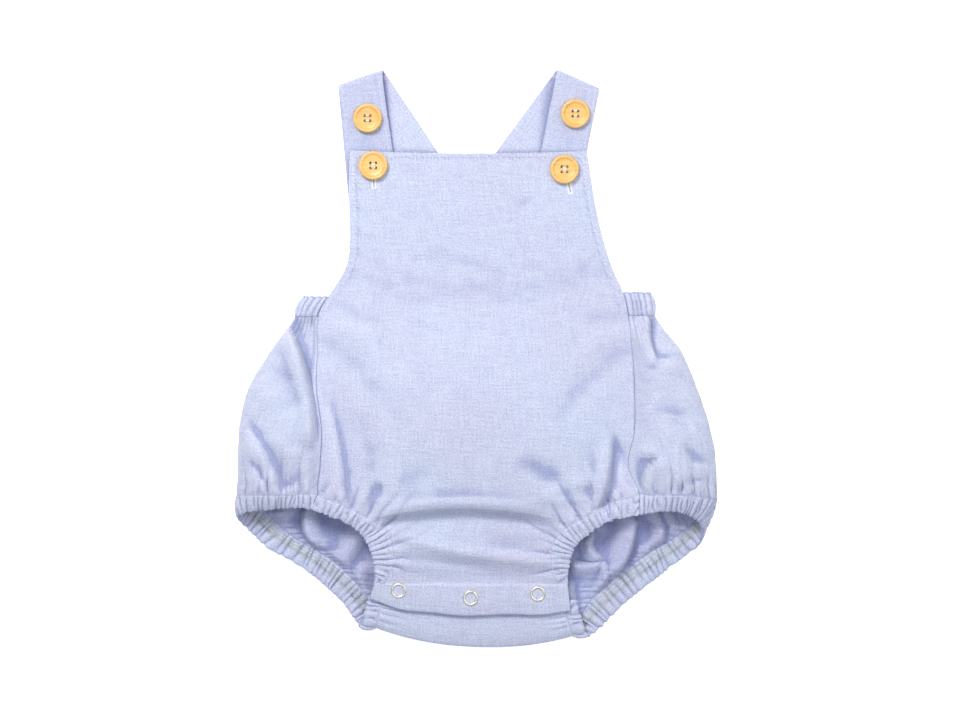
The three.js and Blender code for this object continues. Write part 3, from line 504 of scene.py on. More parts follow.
def ripples(x, y, seed, size, count=5):
    """A soft uneven relief between about -1 and 1, of bumps of one size."""
    rng = np.random.default_rng(seed)
    total = np.zeros_like(x)
    for _ in range(count):
        angle, phase = rng.uniform(0, math.pi), rng.uniform(0, 2 * math.pi)
        pace = 2 * math.pi / (size * rng.uniform(0.7, 1.6))
        cos, sin = math.cos(angle), math.sin(angle)
        bend = rng.uniform(0.3, 0.9) * np.sin((x * sin - y * cos) * pace * 0.6 + phase)
        total += np.sin((x * cos + y * sin) * pace + phase + bend)
    return total / count


class Gathers:
    """Uneven ribs along a casing: where each begins, by share of its length, and how tall it stands."""

    def __init__(self, count, seed, uneven=0.35, tight_until=0.0, roundness=0.7):
        rng = np.random.default_rng(seed)
        self.roundness = roundness
        widths = 1 + uneven * rng.uniform(-1, 1, count)
        widths[:int(count * tight_until)] *= 0.72
        self.starts = np.concatenate([[0], np.cumsum(widths)]) / widths.sum()
        self.heights = rng.uniform(0.6, 1.0, count)
        self.lean = rng.uniform(-0.7, 0.7, count)
        self.opens = rng.uniform(-0.5, 0.3, count + 1)
        self.closes = rng.uniform(0.7, 1.6, count + 1)

    def find(self, share):
        """The rib at each share of the length, and how far through that rib the share lies."""
        share = np.clip(share, 0, 0.99999)
        i = np.clip(np.searchsorted(self.starts, share, side="right") - 1, 0, len(self.heights) - 1)
        return i, (share - self.starts[i]) / (self.starts[i + 1] - self.starts[i])

    def profile(self, share, across=0.0):
        i, part = self.find(share)
        part = np.clip(part + self.lean[i] * across * np.sin(math.pi * part), 0, 1)
        return self.heights[i] * np.maximum(np.sin(math.pi * part), 0) ** self.roundness

    def relief(self, share, across):
        """The same ribs, with creases that begin and end at different places across the casing."""
        rib = self.profile(share, across - 0.5)
        i, part = self.find(share)
        crease = i + (part > 0.5)
        opened = smooth((across - self.opens[crease]) / 0.3) * smooth((self.closes[crease] - across) / 0.3)
        return lerp(np.maximum(rib, 0.55 * self.heights[i] + 0.08), rib, opened)


def lengths_along(points):
    steps = np.linalg.norm(np.diff(points, axis=0), axis=1)
    return np.concatenate([[0], np.cumsum(steps)])


def fine_rows(first, last, point_at, spacing):
    """Fractional row numbers about one spacing apart on the middle of a surface."""
    probe = np.linspace(first, last, int((last - first) * 20) + 1)
    reach = lengths_along(point_at(probe))
    count = max(int(reach[-1] / spacing), 2)
    return np.interp(np.linspace(0, reach[-1], count + 1), reach, probe)


def front_base(row, t):
    values = along(FRONT_ROWS, row)
    at = lambda column: values[..., column]
    edge = np.abs(2 * t - 1)
    bow, crown = 1 - edge ** 2.4, 1 - edge ** 2.6
    x = lerp(at(LX), at(RX), t)
    y = lerp(at(LY), at(RY), t) + (at(MY) - (at(LY) + at(RY)) / 2) * bow
    z = lerp(at(LZ), at(RZ), t) + (at(MZ) - (at(LZ) + at(RZ)) / 2) * crown
    return x, y, z, values


def leg_seam(side, at):
    return along(BACK_LEG_ROWS[side][:, 0:3], at)


def leg_edge(side, at):
    return along(BACK_LEG_ROWS[side][:, 3:6], at)


def front_seam(side, row):
    return along(FRONT_ROWS, row)[..., SIDE_COLUMNS[side]]


# The gathers of each casing.
GATHERS = {
    ("front", "left"): Gathers(21, 3),
    ("front", "right"): Gathers(22, 4),
    ("back", "left"): Gathers(50, 5, 0.55, tight_until=0.34),
    ("back", "right"): Gathers(51, 6, 0.55, tight_until=0.34),
    "waist": Gathers(82, 7, roundness=1.0),
}
# Wider bunches of cloth that run from the ribs into the panels.
BUNCHES = {
    ("front", "left"): Gathers(9, 13, 0.45), ("front", "right"): Gathers(9, 14, 0.45),
    ("back", "left"): Gathers(21, 15, 0.45), ("back", "right"): Gathers(21, 16, 0.45),
}
# How far along each leg seam its row numbers lie, as a share of its length.
SEAMS = {"front": front_seam, "back": leg_seam}
SEAM_PROBE = {"front": np.linspace(LEG_START, FRONT_LAST, 241), "back": np.linspace(0, BACK_LAST, 571)}
SEAM_SHARE = {}
for side in SIDES:
    for kind, seam in SEAMS.items():
        reach = lengths_along(seam(side, SEAM_PROBE[kind]))
        SEAM_SHARE[kind, side] = reach / reach[-1]


def seam_share(kind, side, row):
    return np.interp(row, SEAM_PROBE[kind], SEAM_SHARE[kind, side])


def nearest_on_seam(side, x, y):
    """How far each point lies from the front's leg seam, and the share of the seam that it is nearest to."""
    seam = front_seam(side, SEAM_PROBE["front"])[:, :2]
    gap = np.hypot(x[..., None] - seam[:, 0], y[..., None] - seam[:, 1])
    at = gap.argmin(axis=-1)
    return gap.min(axis=-1), SEAM_SHARE["front", side][at]


def front_surface(row, t):
    """The front panel's middle surface, with its folds and the gathers that run in from the leg casings."""
    row, t = np.broadcast_arrays(np.asarray(row, dtype=float), np.asarray(t, dtype=float))
    x, y, z, values = front_base(row, t)
    z = z + fold_height(FRONT_FOLDS, x, y) + lap_height(FRONT_LAPS, x, y)
    for side in SIDES:
        away, share = nearest_on_seam(side, x, y)
        rib = GATHERS["front", side].relief(share, 0.0)
        wander = 0.006 * np.sin(away / 4.5 + 40 * share) * smooth(away / 6)
        bunch = BUNCHES["front", side].profile(share + wander)
        reach = 1 + 0.5 * np.sin(53 * share + 2) * np.sin(31 * share)
        reach = reach * lerp(1, 0.72, smooth((row - 13) / 3))
        pinch = (0.3 + 0.7 * smooth(away / 2.5)) * smooth(share * 14) * smooth((18.9 - row) / 0.7)
        z = z + pinch * 1.7 * (rib - 0.6) * np.exp(-((away / (6 * reach)) ** 1.4))
        z = z + pinch * 3.0 * (bunch - 0.55) * np.exp(-((away / (13 * reach)) ** 1.6))
    y = y - 0.9 * smooth((row - 18.2) / 0.8)
    from_side = np.minimum(t, 1 - t) * (values[..., RX] - values[..., LX])
    inset = np.minimum(from_side, np.where(row < 2, BIB_TOP - y, 99))
    bib = smooth((6.2 - row) / 0.6)
    z = z + bib * (0.35 * smooth((4.8 - inset) / 1.6) - 0.07 * np.exp(-(((inset - 4.4) / 0.8) ** 2)))
    z = z + bib * 0.14 * np.sin((x + y) * 1.5 + np.sin(x * 0.4)) * np.exp(-(((inset - 3.4) / 2.5) ** 2))
    body = smooth((45 - y) / 40)
    z = z + 0.35 * body * ripples(x, y, 21, 34) + 0.12 * ripples(x, y, 22, 15)
    return np.stack([x, y, z], axis=-1)


def side_surface(sides, side, row, unit):
    row, unit = np.broadcast_arrays(np.asarray(row, dtype=float), np.asarray(unit, dtype=float))
    values = along(sides[side], (row - sides["start"]) / sides["spacing"])
    crest_x, crest_z, fold_x = np.moveaxis(values, -1, 0)
    seam = front_seam(side, row)
    seam_x = seam[..., 0] + OUTWARD[side] * SEAM_GAP
    middle = (crest_z + CLOTH / 2) / 2
    t = unit / CREST_UNIT
    turn = (unit - CREST_UNIT) / (SIDE_UNITS - CREST_UNIT) * math.pi
    rising = unit < CREST_UNIT
    x = np.where(rising, lerp(seam_x, crest_x, t), crest_x + (fold_x - crest_x) * np.sin(turn))
    z = np.where(rising, lerp(seam[..., 2], crest_z, np.sin(np.clip(t, 0, 1) * math.pi / 2)),
                 middle + (crest_z - middle) * np.cos(turn))
    return np.stack([x, seam[..., 1], z], axis=-1)


def seat_side(side, row, unit):
    """The puffed side of the back panel, drawn in to the waist casing above and the leg casing below."""
    row, unit = np.asarray(row, dtype=float), np.asarray(unit, dtype=float)
    point = side_surface(SEAT_SIDES, side, row, unit)
    seam = leg_seam(side, np.clip(unit, 0, SIDE_UNITS))
    late, early = smooth((row - 10.75) / 0.25), smooth((row - 9.6) / 1.4)
    point = lerp(point, seam, lerp(late, early, smooth(unit / 0.8))[..., None])
    x, y = point[..., 0], point[..., 1]
    turn = (unit - CREST_UNIT) / (SIDE_UNITS - CREST_UNIT) * math.pi
    share = seam_share("back", side, unit)
    inward = np.maximum(y - seam[..., 1], 0)
    rib = GATHERS["back", side].profile(share)
    wander = 0.004 * np.sin(inward / 5 + 30 * share) * smooth(inward / 6)
    bunch = BUNCHES["back", side].profile(share + wander)
    below = 2.0 * (rib - 0.55) * np.exp(-(inward / 7) ** 1.4)
    below = below + 3.6 * (bunch - 0.55) * np.exp(-(inward / 17) ** 1.5)
    below = below * (0.3 + 0.7 * smooth(inward / 2.5))
    gathered = 0.5 * np.sin(unit * 9.5 + 2.2 * np.sin(unit * 2.1 + (1 if side == "left" else 3)))
    above = np.exp(-(np.clip(25 - y, 0, None) / (9 + 3 * np.sin(unit * 7))) ** 1.3)
    folds = (fold_height(SIDE_FOLDS, x, y) + lap_height(SIDE_LAPS, x, y)) * smooth((26.5 - y) / 5)
    raised = folds * (0.25 + 0.75 * smooth(inward / 5)) + below + 2.0 * gathered * above * smooth(unit / 0.8)
    raised = raised + 0.5 * ripples(x, y, 31, 30) + 0.15 * ripples(x, y, 32, 13)
    upward = np.where(unit < CREST_UNIT, smooth(unit / 0.6), np.clip(np.cos(turn), 0, 1))
    at_seam = front_surface(row, EDGE_T[side])[..., 2] - front_seam(side, row)[..., 2]
    at_seam = at_seam * smooth(1 - unit / CREST_UNIT) * smooth((10.9 - row) / 0.5)
    point[..., 2] += at_seam + upward * raised
    around = np.clip(np.sin(turn), 0, 1) * (unit > CREST_UNIT)
    point[..., 0] += OUTWARD[side] * around * (0.35 * below + 0.4 * ripples(y, x, 33, 18))
    return point


def floor_surface(row, t):
    """The seat on the floor, the fold at the crotch and the flap that comes back up under the placket."""
    row, t = np.broadcast_arrays(np.asarray(row, dtype=float), np.asarray(t, dtype=float))
    left, right = leg_seam("left", row), leg_seam("right", row)
    bow = 1 - np.abs(2 * t - 1) ** 2.2
    point = lerp(left, right, t[..., None])
    middle_y = along(BACK_MIDDLE, row - FLOOR_ROW)[..., 0]
    point[..., 1] += (middle_y - (left[..., 1] + right[..., 1]) / 2) * bow
    x, y = point[..., 0], point[..., 1]
    inside = smooth((14.8 - row) / 1.0) * smooth(np.minimum(t, 1 - t) * 22)
    lift = np.clip(crease_height(INNER_FOLDS, x, y) + 0.8 * ripples(x, y, 41, 20), 0, None) * inside
    for side, away in (("left", x - left[..., 0]), ("right", right[..., 0] - x)):
        away = np.maximum(away, 0)
        rib = GATHERS["back", side].profile(seam_share("back", side, row))
        lift = lift + 1.9 * np.clip(rib - 0.3, 0, None) * np.exp(-((away / 11) ** 1.5)) * smooth(away / 2)
    point[..., 2] += lift
    return point


# Mesh making

def grid_faces(index, flip=False):
    a, b = index[:-1, :-1].ravel(), index[1:, :-1].ravel()
    c, d = index[1:, 1:].ravel(), index[:-1, 1:].ravel()
    return np.stack([a, d, c, b] if flip else [a, b, c, d], axis=1)


def cloth_lengths(points):
    """How far each point of a grid lies across and along the cloth, from its middle column and first row."""
    across = np.linalg.norm(np.diff(points, axis=1), axis=2)
    u = np.concatenate([np.zeros((len(points), 1)), np.cumsum(across, axis=1)], axis=1)
    middle = points.shape[1] // 2
    u = u - u[:, middle:middle + 1]
    down = lengths_along(points[:, middle])
    return np.stack([u, np.repeat(-down[:, None], points.shape[1], axis=1)], axis=-1)


def numbered(points):
    """The number of each point of a grid."""
    return np.arange(points.shape[0] * points.shape[1]).reshape(points.shape[:2])


def edges_of(faces):
    return np.concatenate([faces[:, [k, (k + 1) % 4]] for k in range(4)])


def unit_vectors(vectors):
    return vectors / np.linalg.norm(vectors, axis=1, keepdims=True)


def vertex_normals(points, faces):
    a, b, c, d = (points[faces[:, k]] for k in range(4))
    normal = np.cross(c - a, d - b)
    total = np.zeros_like(points)
    for k in range(4):
        np.add.at(total, faces[:, k], normal)
    return total / np.maximum(np.linalg.norm(total, axis=1, keepdims=True), 1e-12)


def hollows(points, faces, up):
    """How deep each point lies below the cloth around it, from -1 on a crest to 1 in a fold."""
    edges, total = edges_of(faces), len(points)
    count = np.bincount(edges.ravel(), minlength=total)[:, None]
    level = points.copy()
    depth = np.zeros(total)
    full_depth = {6: 0.35, 24: 1.3}
    for step in range(1, max(full_depth) + 1):
        sums = [np.bincount(edges[:, 0], level[edges[:, 1], k], total)
                + np.bincount(edges[:, 1], level[edges[:, 0], k], total) for k in range(3)]
        level = np.stack(sums, axis=1) / np.maximum(count, 1)
        if step in full_depth:
            depth += np.sum((level - points) * up, axis=1) / full_depth[step]
    return np.clip(np.abs(depth) - 0.1, 0, 1) * np.sign(depth)


def set_values(piece, word, values):
    layer = piece.data.attributes.new(word, "FLOAT", "POINT")
    layer.data.foreach_set("value", values.astype(np.float32))


def cloth_wall(name, points, faces, uv, half, fixed_up=None, wrong_side_and_shade=False):
    """One closed wall of cloth round a net of middle points. fixed_up names points with a given direction."""
    up = vertex_normals(points, faces)
    if fixed_up is not None:
        which, directions = fixed_up
        up[which] = unit_vectors(directions)
    half = np.broadcast_to(half, len(points))[:, None]
    top, bottom = points + up * half, points - up * half
    # How deep each point lies in a fold, kept to paint shade into folds and a highlight onto crests.
    depth = np.concatenate([hollows(top, faces, up), hollows(bottom, faces, -up)])
    top[:, 2], bottom[:, 2] = np.maximum(top[:, 2], 0), np.maximum(bottom[:, 2], 0)
    count = len(points)
    edges = edges_of(faces)
    key = edges[:, 0].astype(np.int64) * count + edges[:, 1]
    back = edges[:, 1].astype(np.int64) * count + edges[:, 0]
    rim = edges[~np.isin(key, back)]
    sides = np.stack([rim[:, 0], rim[:, 0] + count, rim[:, 1] + count, rim[:, 1]], axis=1)
    every = np.concatenate([faces, faces[:, ::-1] + count, sides])
    piece = make_mesh(name, np.concatenate([top, bottom]), every, np.concatenate([uv, uv]))
    set_values(piece, "painted_shade_and_highlight", depth)
    # Painted shade: the back panel's upward face gets a deeper tone as the cloth's wrong side, and this also
    # darkens the cloth seen inside the legs.
    set_values(piece, "wrong_side_and_shade", np.repeat([float(wrong_side_and_shade), 0.0], count))
    return piece


def shade_smooth(mesh, sharpest=None):
    """Smooth shading, but for edges that turn by more than the given number of degrees."""
    mesh.polygons.foreach_set("use_smooth", np.ones(len(mesh.polygons), dtype=bool))
    mesh.update()
    if sharpest:
        mesh.set_sharp_from_angle(angle=math.radians(sharpest))


def make_mesh(name, points, faces, uv=None):
    mesh = bpy.data.meshes.new(name)
    mesh.from_pydata((points * MM).tolist(), [], faces.tolist())
    if uv is not None:
        layer = mesh.uv_layers.new(name="cloth")
        corner = np.empty(len(mesh.loops), dtype=np.int32)
        mesh.loops.foreach_get("vertex_index", corner)
        layer.data.foreach_set("uv", (uv[corner] * MM).astype(np.float32).ravel())
    shade_smooth(mesh, 62)
    return add_object(name, mesh)


def grid_wall(name, points, half, flip=False, fixed_up=None):
    uv = cloth_lengths(points).reshape(-1, 2)
    return cloth_wall(name, points.reshape(-1, 3), grid_faces(numbered(points), flip), uv, half, fixed_up)


def finish_cloth(piece, node, material):
    piece.data.materials.append(material)
    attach(piece, "root")
    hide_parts(node)


# The cloth pieces

def build_front_panel(material):
    middle = lambda rows: np.stack(front_base(rows, np.full_like(rows, 0.5))[:3], axis=-1)
    left_seam = lambda rows: front_seam("left", rows)
    top = np.linspace(0, 0.36, 17)[:-1]
    body = fine_rows(0.36, LEG_START, middle, 1.7)[:-1]
    rows = np.concatenate([top, body, fine_rows(LEG_START, FRONT_LAST, left_seam, 0.75)])
    t = np.interp(np.linspace(0, 1, 129), [0, 0.2, 0.8, 1], [0, 0.15, 0.85, 1])
    points = front_surface(rows[:, None], t[None, :])
    edges = numbered(points)[:, [0, -1]].T.ravel()
    piece = grid_wall("front_cloth", points, CLOTH / 2, fixed_up=(edges, np.tile(UP, (len(edges), 1))))
    finish_cloth(piece, "front_panel", material)


def seam_direction(side, unit):
    """The direction that the back's cloth faces at its leg seam."""
    before, after = np.clip(unit - 0.25, 0, BACK_LAST), np.clip(unit + 0.25, 0, BACK_LAST)
    tangent = leg_seam(side, after) - leg_seam(side, before)
    return np.cross(tangent, leg_edge(side, unit) - leg_seam(side, unit))


def build_back_panel(material):
    """Two grids that share an edge: the sides and the seat above, the rest of the seat and the flap below."""
    upper_rows = fine_rows(SEAT_SIDES["start"], LEG_START, lambda rows: front_seam("left", rows), 1.7)
    units = np.linspace(0, SIDE_UNITS, 141)
    near_left = np.linspace(0, 0.27, 58)
    floor_t = np.concatenate([near_left, np.linspace(0.27, 0.73, 18)[1:-1], near_left + 0.73])
    inner_t = floor_t[1:-1]
    left_side = seat_side("left", upper_rows[:, None], units[None, :])
    right_side = seat_side("right", upper_rows[:, None], units[None, :])[:, ::-1]
    flat = lerp(left_side[:, -1:], right_side[:, :1], inner_t[None, :, None])
    fade = smooth((upper_rows - 9.6) / 1.4)[:, None, None]
    below = floor_surface(np.full((1, 1), float(FLOOR_ROW)), inner_t[None, :])
    flat = flat + (below - flat[-1:]) * fade
    upper = np.concatenate([left_side, flat, right_side], axis=1)
    seat_middle = lambda rows: floor_surface(rows, np.full_like(rows, 0.5))
    lower_rows = fine_rows(FLOOR_ROW, BACK_LAST, seat_middle, FINE)[1:]
    lower = floor_surface(lower_rows[:, None], floor_t[None, :])
    start = len(units) - 1
    shared = slice(start, start + len(floor_t))
    index = numbered(upper)
    lower_index = index.size + numbered(lower)
    faces = np.concatenate([grid_faces(index), grid_faces(np.concatenate([index[-1:, shared], lower_index]))])
    upper_uv = cloth_lengths(upper)
    lower_uv = cloth_lengths(np.concatenate([upper[-1:, shared], lower]))[1:]
    lower_uv[..., 1] += upper_uv[-1, 0, 1]
    points = np.concatenate([upper.reshape(-1, 3), lower.reshape(-1, 3)])
    uv = np.concatenate([upper_uv.reshape(-1, 2), lower_uv.reshape(-1, 2)])
    side_seam = np.tile(-UP, (len(upper_rows), 1))
    facing = [
        (index[:, 0], side_seam),
        (index[:, -1], side_seam),
        (index[-1, 1:start + 1], -seam_direction("left", units[1:])),
        (index[-1, -start - 1:-1], seam_direction("right", units[:0:-1])),
        (lower_index[:, 0], -seam_direction("left", lower_rows)),
        (lower_index[:, -1], seam_direction("right", lower_rows)),
    ]
    fixed_up = tuple(np.concatenate(part) for part in zip(*facing))
    piece = cloth_wall("back_cloth", points, faces, uv, CLOTH / 2, fixed_up, wrong_side_and_shade=True)
    finish_cloth(piece, "back_panel", material)


# How far a casing reaches in over the panel, and the lines to sew on it: points and the way the cloth faces.
TUCK = 0.8
CASING_LINES, OVERLOCK_LINES = [], []


def build_leg_casing(kind, side, material):
    """A casing gathered on its elastic: beads of cloth across it, pinched at both of its stitched edges."""
    front = kind == "front"
    probe = SEAM_PROBE[kind]
    seam_length = lengths_along(SEAMS[kind](side, probe))[-1]
    share = np.linspace(0, 1, int(seam_length / 0.5) + 1)
    row = np.interp(share, SEAM_SHARE[kind, side], probe)
    if front:
        seam, edge = front_surface(row, EDGE_T[side]), along(FRONT_LEG_EDGE[side], row - LEG_START)
    else:
        seam, edge = leg_seam(side, row), leg_edge(side, row)
    width = np.linalg.norm(edge - seam, axis=1, keepdims=True)
    outward = (edge - seam) / width
    tangent = np.gradient(seam, axis=0)
    up = unit_vectors(np.cross(tangent, outward))
    length = lengths_along(seam)[-1]
    slant = np.sum(outward * width * tangent, axis=1) / np.linalg.norm(tangent, axis=1) / length
    fullness = 1.55 if front else 2.0
    across = np.linspace(0, 1, 17)
    points, halves = [], []
    for c in across:
        rib = GATHERS[kind, side].relief(share + c * slant + 0.0012 * np.sin(share * 90 + 5 * c), c)[:, None]
        puff = math.sin(math.pi * min(max(c - 0.04, 0.0), 0.97)) ** 0.55
        scallop = 1.3 * (rib - 0.7) * smooth((c - 0.6) / 0.4)
        wander = 0.4 * (np.sin(share * 61 + c * 3) + np.sin(share * 143 + c * 5))[:, None]
        points.append(seam + outward * (c * (width + TUCK) - TUCK + scallop) + tangent * wander)
        halves.append(0.45 + puff * (0.05 + fullness * rib[:, 0]))
    points, halves = np.stack(points, axis=1), np.stack(halves, axis=1)
    index = numbered(points)
    fixed_up = (index.ravel(), np.repeat(up, len(across), axis=0))
    uv = cloth_lengths(points).reshape(-1, 2)[:, ::-1]
    name, faces = kind + "_" + side, grid_faces(index)
    piece = cloth_wall("leg_casing_cloth_" + name, points.reshape(-1, 3), faces, uv, halves.ravel(), fixed_up)
    facing = up * np.sign(up[-40 if front else len(row) // 2, 2])
    lift = facing[:, None] * halves[..., None]
    if front:
        CASING_LINES.append(((points + lift)[2:-2, 2], facing[2:-2]))
    else:
        inside, outside = (row > 6.2) & (row < 15.8), (row > 0.1) & (row < 5)
        OVERLOCK_LINES.extend(((points + lift)[inside, column], facing[inside]) for column in (3, 5, 7, 8))
        CASING_LINES.append(((points - lift)[outside, 2], -facing[outside]))
    finish_cloth(piece, "leg_casing_" + name, material)


def build_waist_casing(material):
    units = np.linspace(0, SIDE_UNITS, 70)
    reach = lengths_along(side_surface(WAIST_SIDES, "left", 5.5, units))
    even = np.interp(np.linspace(0, reach[-1], 72), reach, units)
    rows = np.linspace(WAIST_SIDES["start"], SEAT_SIDES["start"], 13)
    left = side_surface(WAIST_SIDES, "left", rows[:, None], even[None, :])
    right = side_surface(WAIST_SIDES, "right", rows[:, None], even[None, ::-1])
    flat = lerp(left[:, -1:], right[:, :1], np.linspace(0, 1, 330)[None, 1:-1, None])
    points = np.concatenate([left, flat, right], axis=1)
    share = lengths_along(points[len(rows) // 2])
    share = share / share[-1]
    down = (rows - rows[0])[:, None]
    rib = np.stack([GATHERS["waist"].profile(share, d - 0.5) for d in down[:, 0]])
    puff = np.sin(math.pi * np.clip(down, 0.03, 0.97)) ** 0.7
    ends = smooth(np.minimum(share, 1 - share) / 0.006)
    on_floor = np.where(points[..., 2] < 1, 0.6, 1)
    halves = 0.4 + puff * (0.05 + 2.2 * rib) * on_floor * (0.3 + 0.7 * ends)
    column = np.arange(points.shape[1])
    wrapped = (column < len(even)) | (column >= len(column) - len(even))
    points[..., 1] += 0.7 * (rib - 0.7) * (1 - 2 * down) * wrapped
    edges = numbered(points)[:, [0, -1]].T.ravel()
    fixed_up = (edges, np.tile(-UP, (len(edges), 1)))
    piece = grid_wall("waist_casing_cloth", points, halves.ravel(), fixed_up=fixed_up)
    finish_cloth(piece, "waist_casing", material)


# Each strap's fold at the shoulder and its slope, its sewn end at the back, how far its front end reaches,
# how high it lies where the two cross, how much its front end widens, how much painted shade darkens that end
# and how wide the painted shade beside it is.
STRAPS = {
    "left": {"fold": (-71.4, 174.2), "slope": 0.352, "back": (26, 28), "front_length": 72, "lift": 0.0,
             "spread": 2.6, "front_end_shade": 0.55, "shade": 4.0},
    "right": {"fold": (62.6, 173.4), "slope": -0.441, "back": (-44, 28), "front_length": 72, "lift": 2.1,
              "spread": 0.0, "front_end_shade": 0.4, "shade": 11.0},
}
# How wide a strap is, where the two cross, the radius of the bend and how far the front end comes down.
STRAP_WIDTH, CROSSING, BEND_RADIUS, FRONT_DROP = 28.0, (-8, 79), 3.2, 3.4


def strap_axes(side):
    """The strap's numbers with its two ends, the directions along and across it, and those of its fold."""
    s = dict(STRAPS[side])
    s["start"], s["shoulder"] = np.array(s["back"], float), np.array(s["fold"], float)
    run = s["shoulder"] - s["start"]
    s["length"] = np.linalg.norm(run)
    s["along"] = run / s["length"]
    s["across"] = np.array([-s["along"][1], s["along"][0]])
    s["crease"] = np.array([1, s["slope"]]) / math.hypot(1, s["slope"])
    s["beyond"] = np.array([-s["crease"][1], s["crease"][0]])
    s["total"] = s["length"] + math.pi * BEND_RADIUS / 2 + s["front_length"]
    return s


def strap_front_height(side, down):
    return STRAP_CLOTH / 2 + 2 * BEND_RADIUS - FRONT_DROP * smooth(1.6 * down / STRAPS[side]["front_length"])


def strap_surface(side, reach, width):
    """The strap's middle surface: flat on the floor, bent over its slanted fold, then down behind the bib."""
    s = strap_axes(side)
    reach, width = np.broadcast_arrays(np.asarray(reach, float), np.asarray(width, float))
    flat = s["start"] + reach[..., None] * s["along"] + width[..., None] * s["across"]
    offset = flat - s["shoulder"]
    past = offset @ s["beyond"] + BEND_RADIUS
    bend = math.pi * BEND_RADIUS
    turn = np.clip(past, 0, bend) / BEND_RADIUS
    folded, bending = past > bend, past > 0
    from_crossing = np.hypot(flat[..., 0] - CROSSING[0], flat[..., 1] - CROSSING[1]) / 42
    back_z = STRAP_CLOTH / 2 + s["lift"] * smooth((1 - from_crossing) * 3)
    back_z = back_z + 2.1 * smooth((50 - flat[..., 1]) / 10)
    bend_z = STRAP_CLOTH / 2 + BEND_RADIUS * (1 - np.cos(turn))
    out = np.where(bending, BEND_RADIUS * (np.sin(turn) - 1), past - BEND_RADIUS)
    out = np.where(folded, bend - past - BEND_RADIUS, out)
    z = np.where(bending, bend_z, back_z)
    z = np.where(folded, strap_front_height(side, np.clip(past - bend, 0, None)), z)
    xy = s["shoulder"] + (offset @ s["crease"])[..., None] * s["crease"] + out[..., None] * s["beyond"]
    inner = np.clip(0.5 + OUTWARD[side] * width / STRAP_WIDTH, 0, 1)
    xy[..., 0] += s["spread"] * inner * smooth((past - bend) / 60)
    z = z + 0.22 * ripples(xy[..., 0], xy[..., 1], 51, 22) * smooth(np.abs(past) / 20) * (z > 1.4)
    return np.concatenate([xy, z[..., None]], axis=-1)


def bib_rows(y):
    """The front row numbers on the bib that lie at these y."""
    return np.interp(-y, -FRONT_ROWS[:5, MY], np.arange(5))


def strap_shade(side, points):
    """How shaded the strap is beside its own folded-over end, and where it goes in under the bib."""
    s, inward = strap_axes(side), -OUTWARD[side]
    ends = np.array([s["length"] + 5, s["total"]])
    top, low = strap_surface(side, ends, -inward * STRAP_WIDTH / 2)[:, :2]
    x, y, z = np.moveaxis(points, -1, 0)
    run = (low - top) / np.linalg.norm(low - top)
    down = (x - top[0]) * run[0] + (y - top[1]) * run[1]
    away = ((y - top[1]) * run[0] - (x - top[0]) * run[1]) * inward
    width = 1.2 + s["shade"] * np.clip(1 - down / 55, 0, 1)
    beside = smooth(1 - away / width) * (away > -2) * (z < 2.4) * smooth((down + 1) / 2)
    bib = along(FRONT_ROWS, bib_rows(y))
    inside = np.minimum(np.minimum(x - bib[..., LX], bib[..., RX] - x), 128.5 - y)
    return np.maximum(beside, 0.8 * smooth((inside + 1.8) / 1.8))


def build_strap(side, material):
    s = strap_axes(side)
    length, total = s["length"], s["total"]
    reach = np.concatenate([np.arange(0, length - 18, 1.6), np.arange(length - 18, length + 24, 0.7),
                            np.arange(length + 24, total, 1.4), [total]])
    inner_half = [0, 0.2, 0.4, 0.6, 0.74, 0.8, 0.88, 0.95, 0.985, 1]
    width = STRAP_WIDTH / 2 * np.array([-w for w in inner_half[:0:-1]] + inner_half)
    points = strap_surface(side, reach[:, None], width[None, :])
    edge = np.abs(width) / (STRAP_WIDTH / 2)
    half = STRAP_CLOTH / 2 * np.interp(edge, [0, 0.72, 0.78, 0.85, 0.95, 1], [1, 1, 0.86, 1, 0.95, 0.55])
    piece = grid_wall("strap_cloth_" + side, points, np.tile(half, len(reach)), flip=True)
    # Painted shade: the strap's folded-over front end is darkened in its colour.
    set_values(piece, "front_end_shade", np.tile(s["front_end_shade"] * smooth((points[..., 2].ravel() - 2) / 2), 2))
    # Painted shade beside the strap's folded-over end and where it goes under the bib is added to the painted
    # shading.
    painted_shade_and_highlight = piece.data.attributes["painted_shade_and_highlight"].data
    depth = np.empty(len(painted_shade_and_highlight), dtype=np.float32)
    painted_shade_and_highlight.foreach_get("value", depth)
    depth = np.maximum(depth, np.tile(strap_shade(side, points).ravel(), 2))
    painted_shade_and_highlight.foreach_set("value", depth.astype(np.float32))
    finish_cloth(piece, "strap_" + side, material)


def placket_surface(column, share):
    """The placket's middle surface, with its upper edge tucked in and its lower edge a little wavy."""
    values = along(PLACKET_COLUMNS, column)
    column, share = np.broadcast_arrays(np.asarray(column, float), np.asarray(share, float))
    x = lerp(values[..., 0], values[..., 2], share)
    y = lerp(values[..., 1], values[..., 3], share) + share * 0.5 * np.sin(column * 4.1 + 0.6)
    z = PLACKET_Z - 0.75 * smooth((0.05 - share) / 0.1) - 0.8 * smooth((share - 0.5) / 0.5)
    z = z + 0.3 * ripples(x, y, 61, 17) * smooth((share - 0.1) / 0.5)
    return np.stack([x, y, z], axis=-1)


def build_placket(material):
    column = np.linspace(0, 5, 110)
    upper_edge, lower_edge = [-0.07, -0.04, 0, 0.03, 0.06, 0.1, 0.15], [0.83, 0.89, 0.94, 0.975, 1]
    share = np.array([*upper_edge, 0.25, 0.35, 0.45, 0.55, 0.65, 0.75, *lower_edge])
    points = placket_surface(column[None, :], share[:, None])
    fullness = np.interp(share, [-0.07, 0, 0.06, 0.1, 0.9, 0.96, 1], [0.3, 0.45, 0.95, 1, 1, 0.9, 0.55])
    half = PLACKET_HALF * fullness
    halves = np.repeat(half[:, None], len(column), axis=1)
    halves[:, [0, -1]] *= 0.6
    piece = grid_wall("placket_cloth", points, halves.ravel())
    finish_cloth(piece, "front_placket", material)


# Stitches

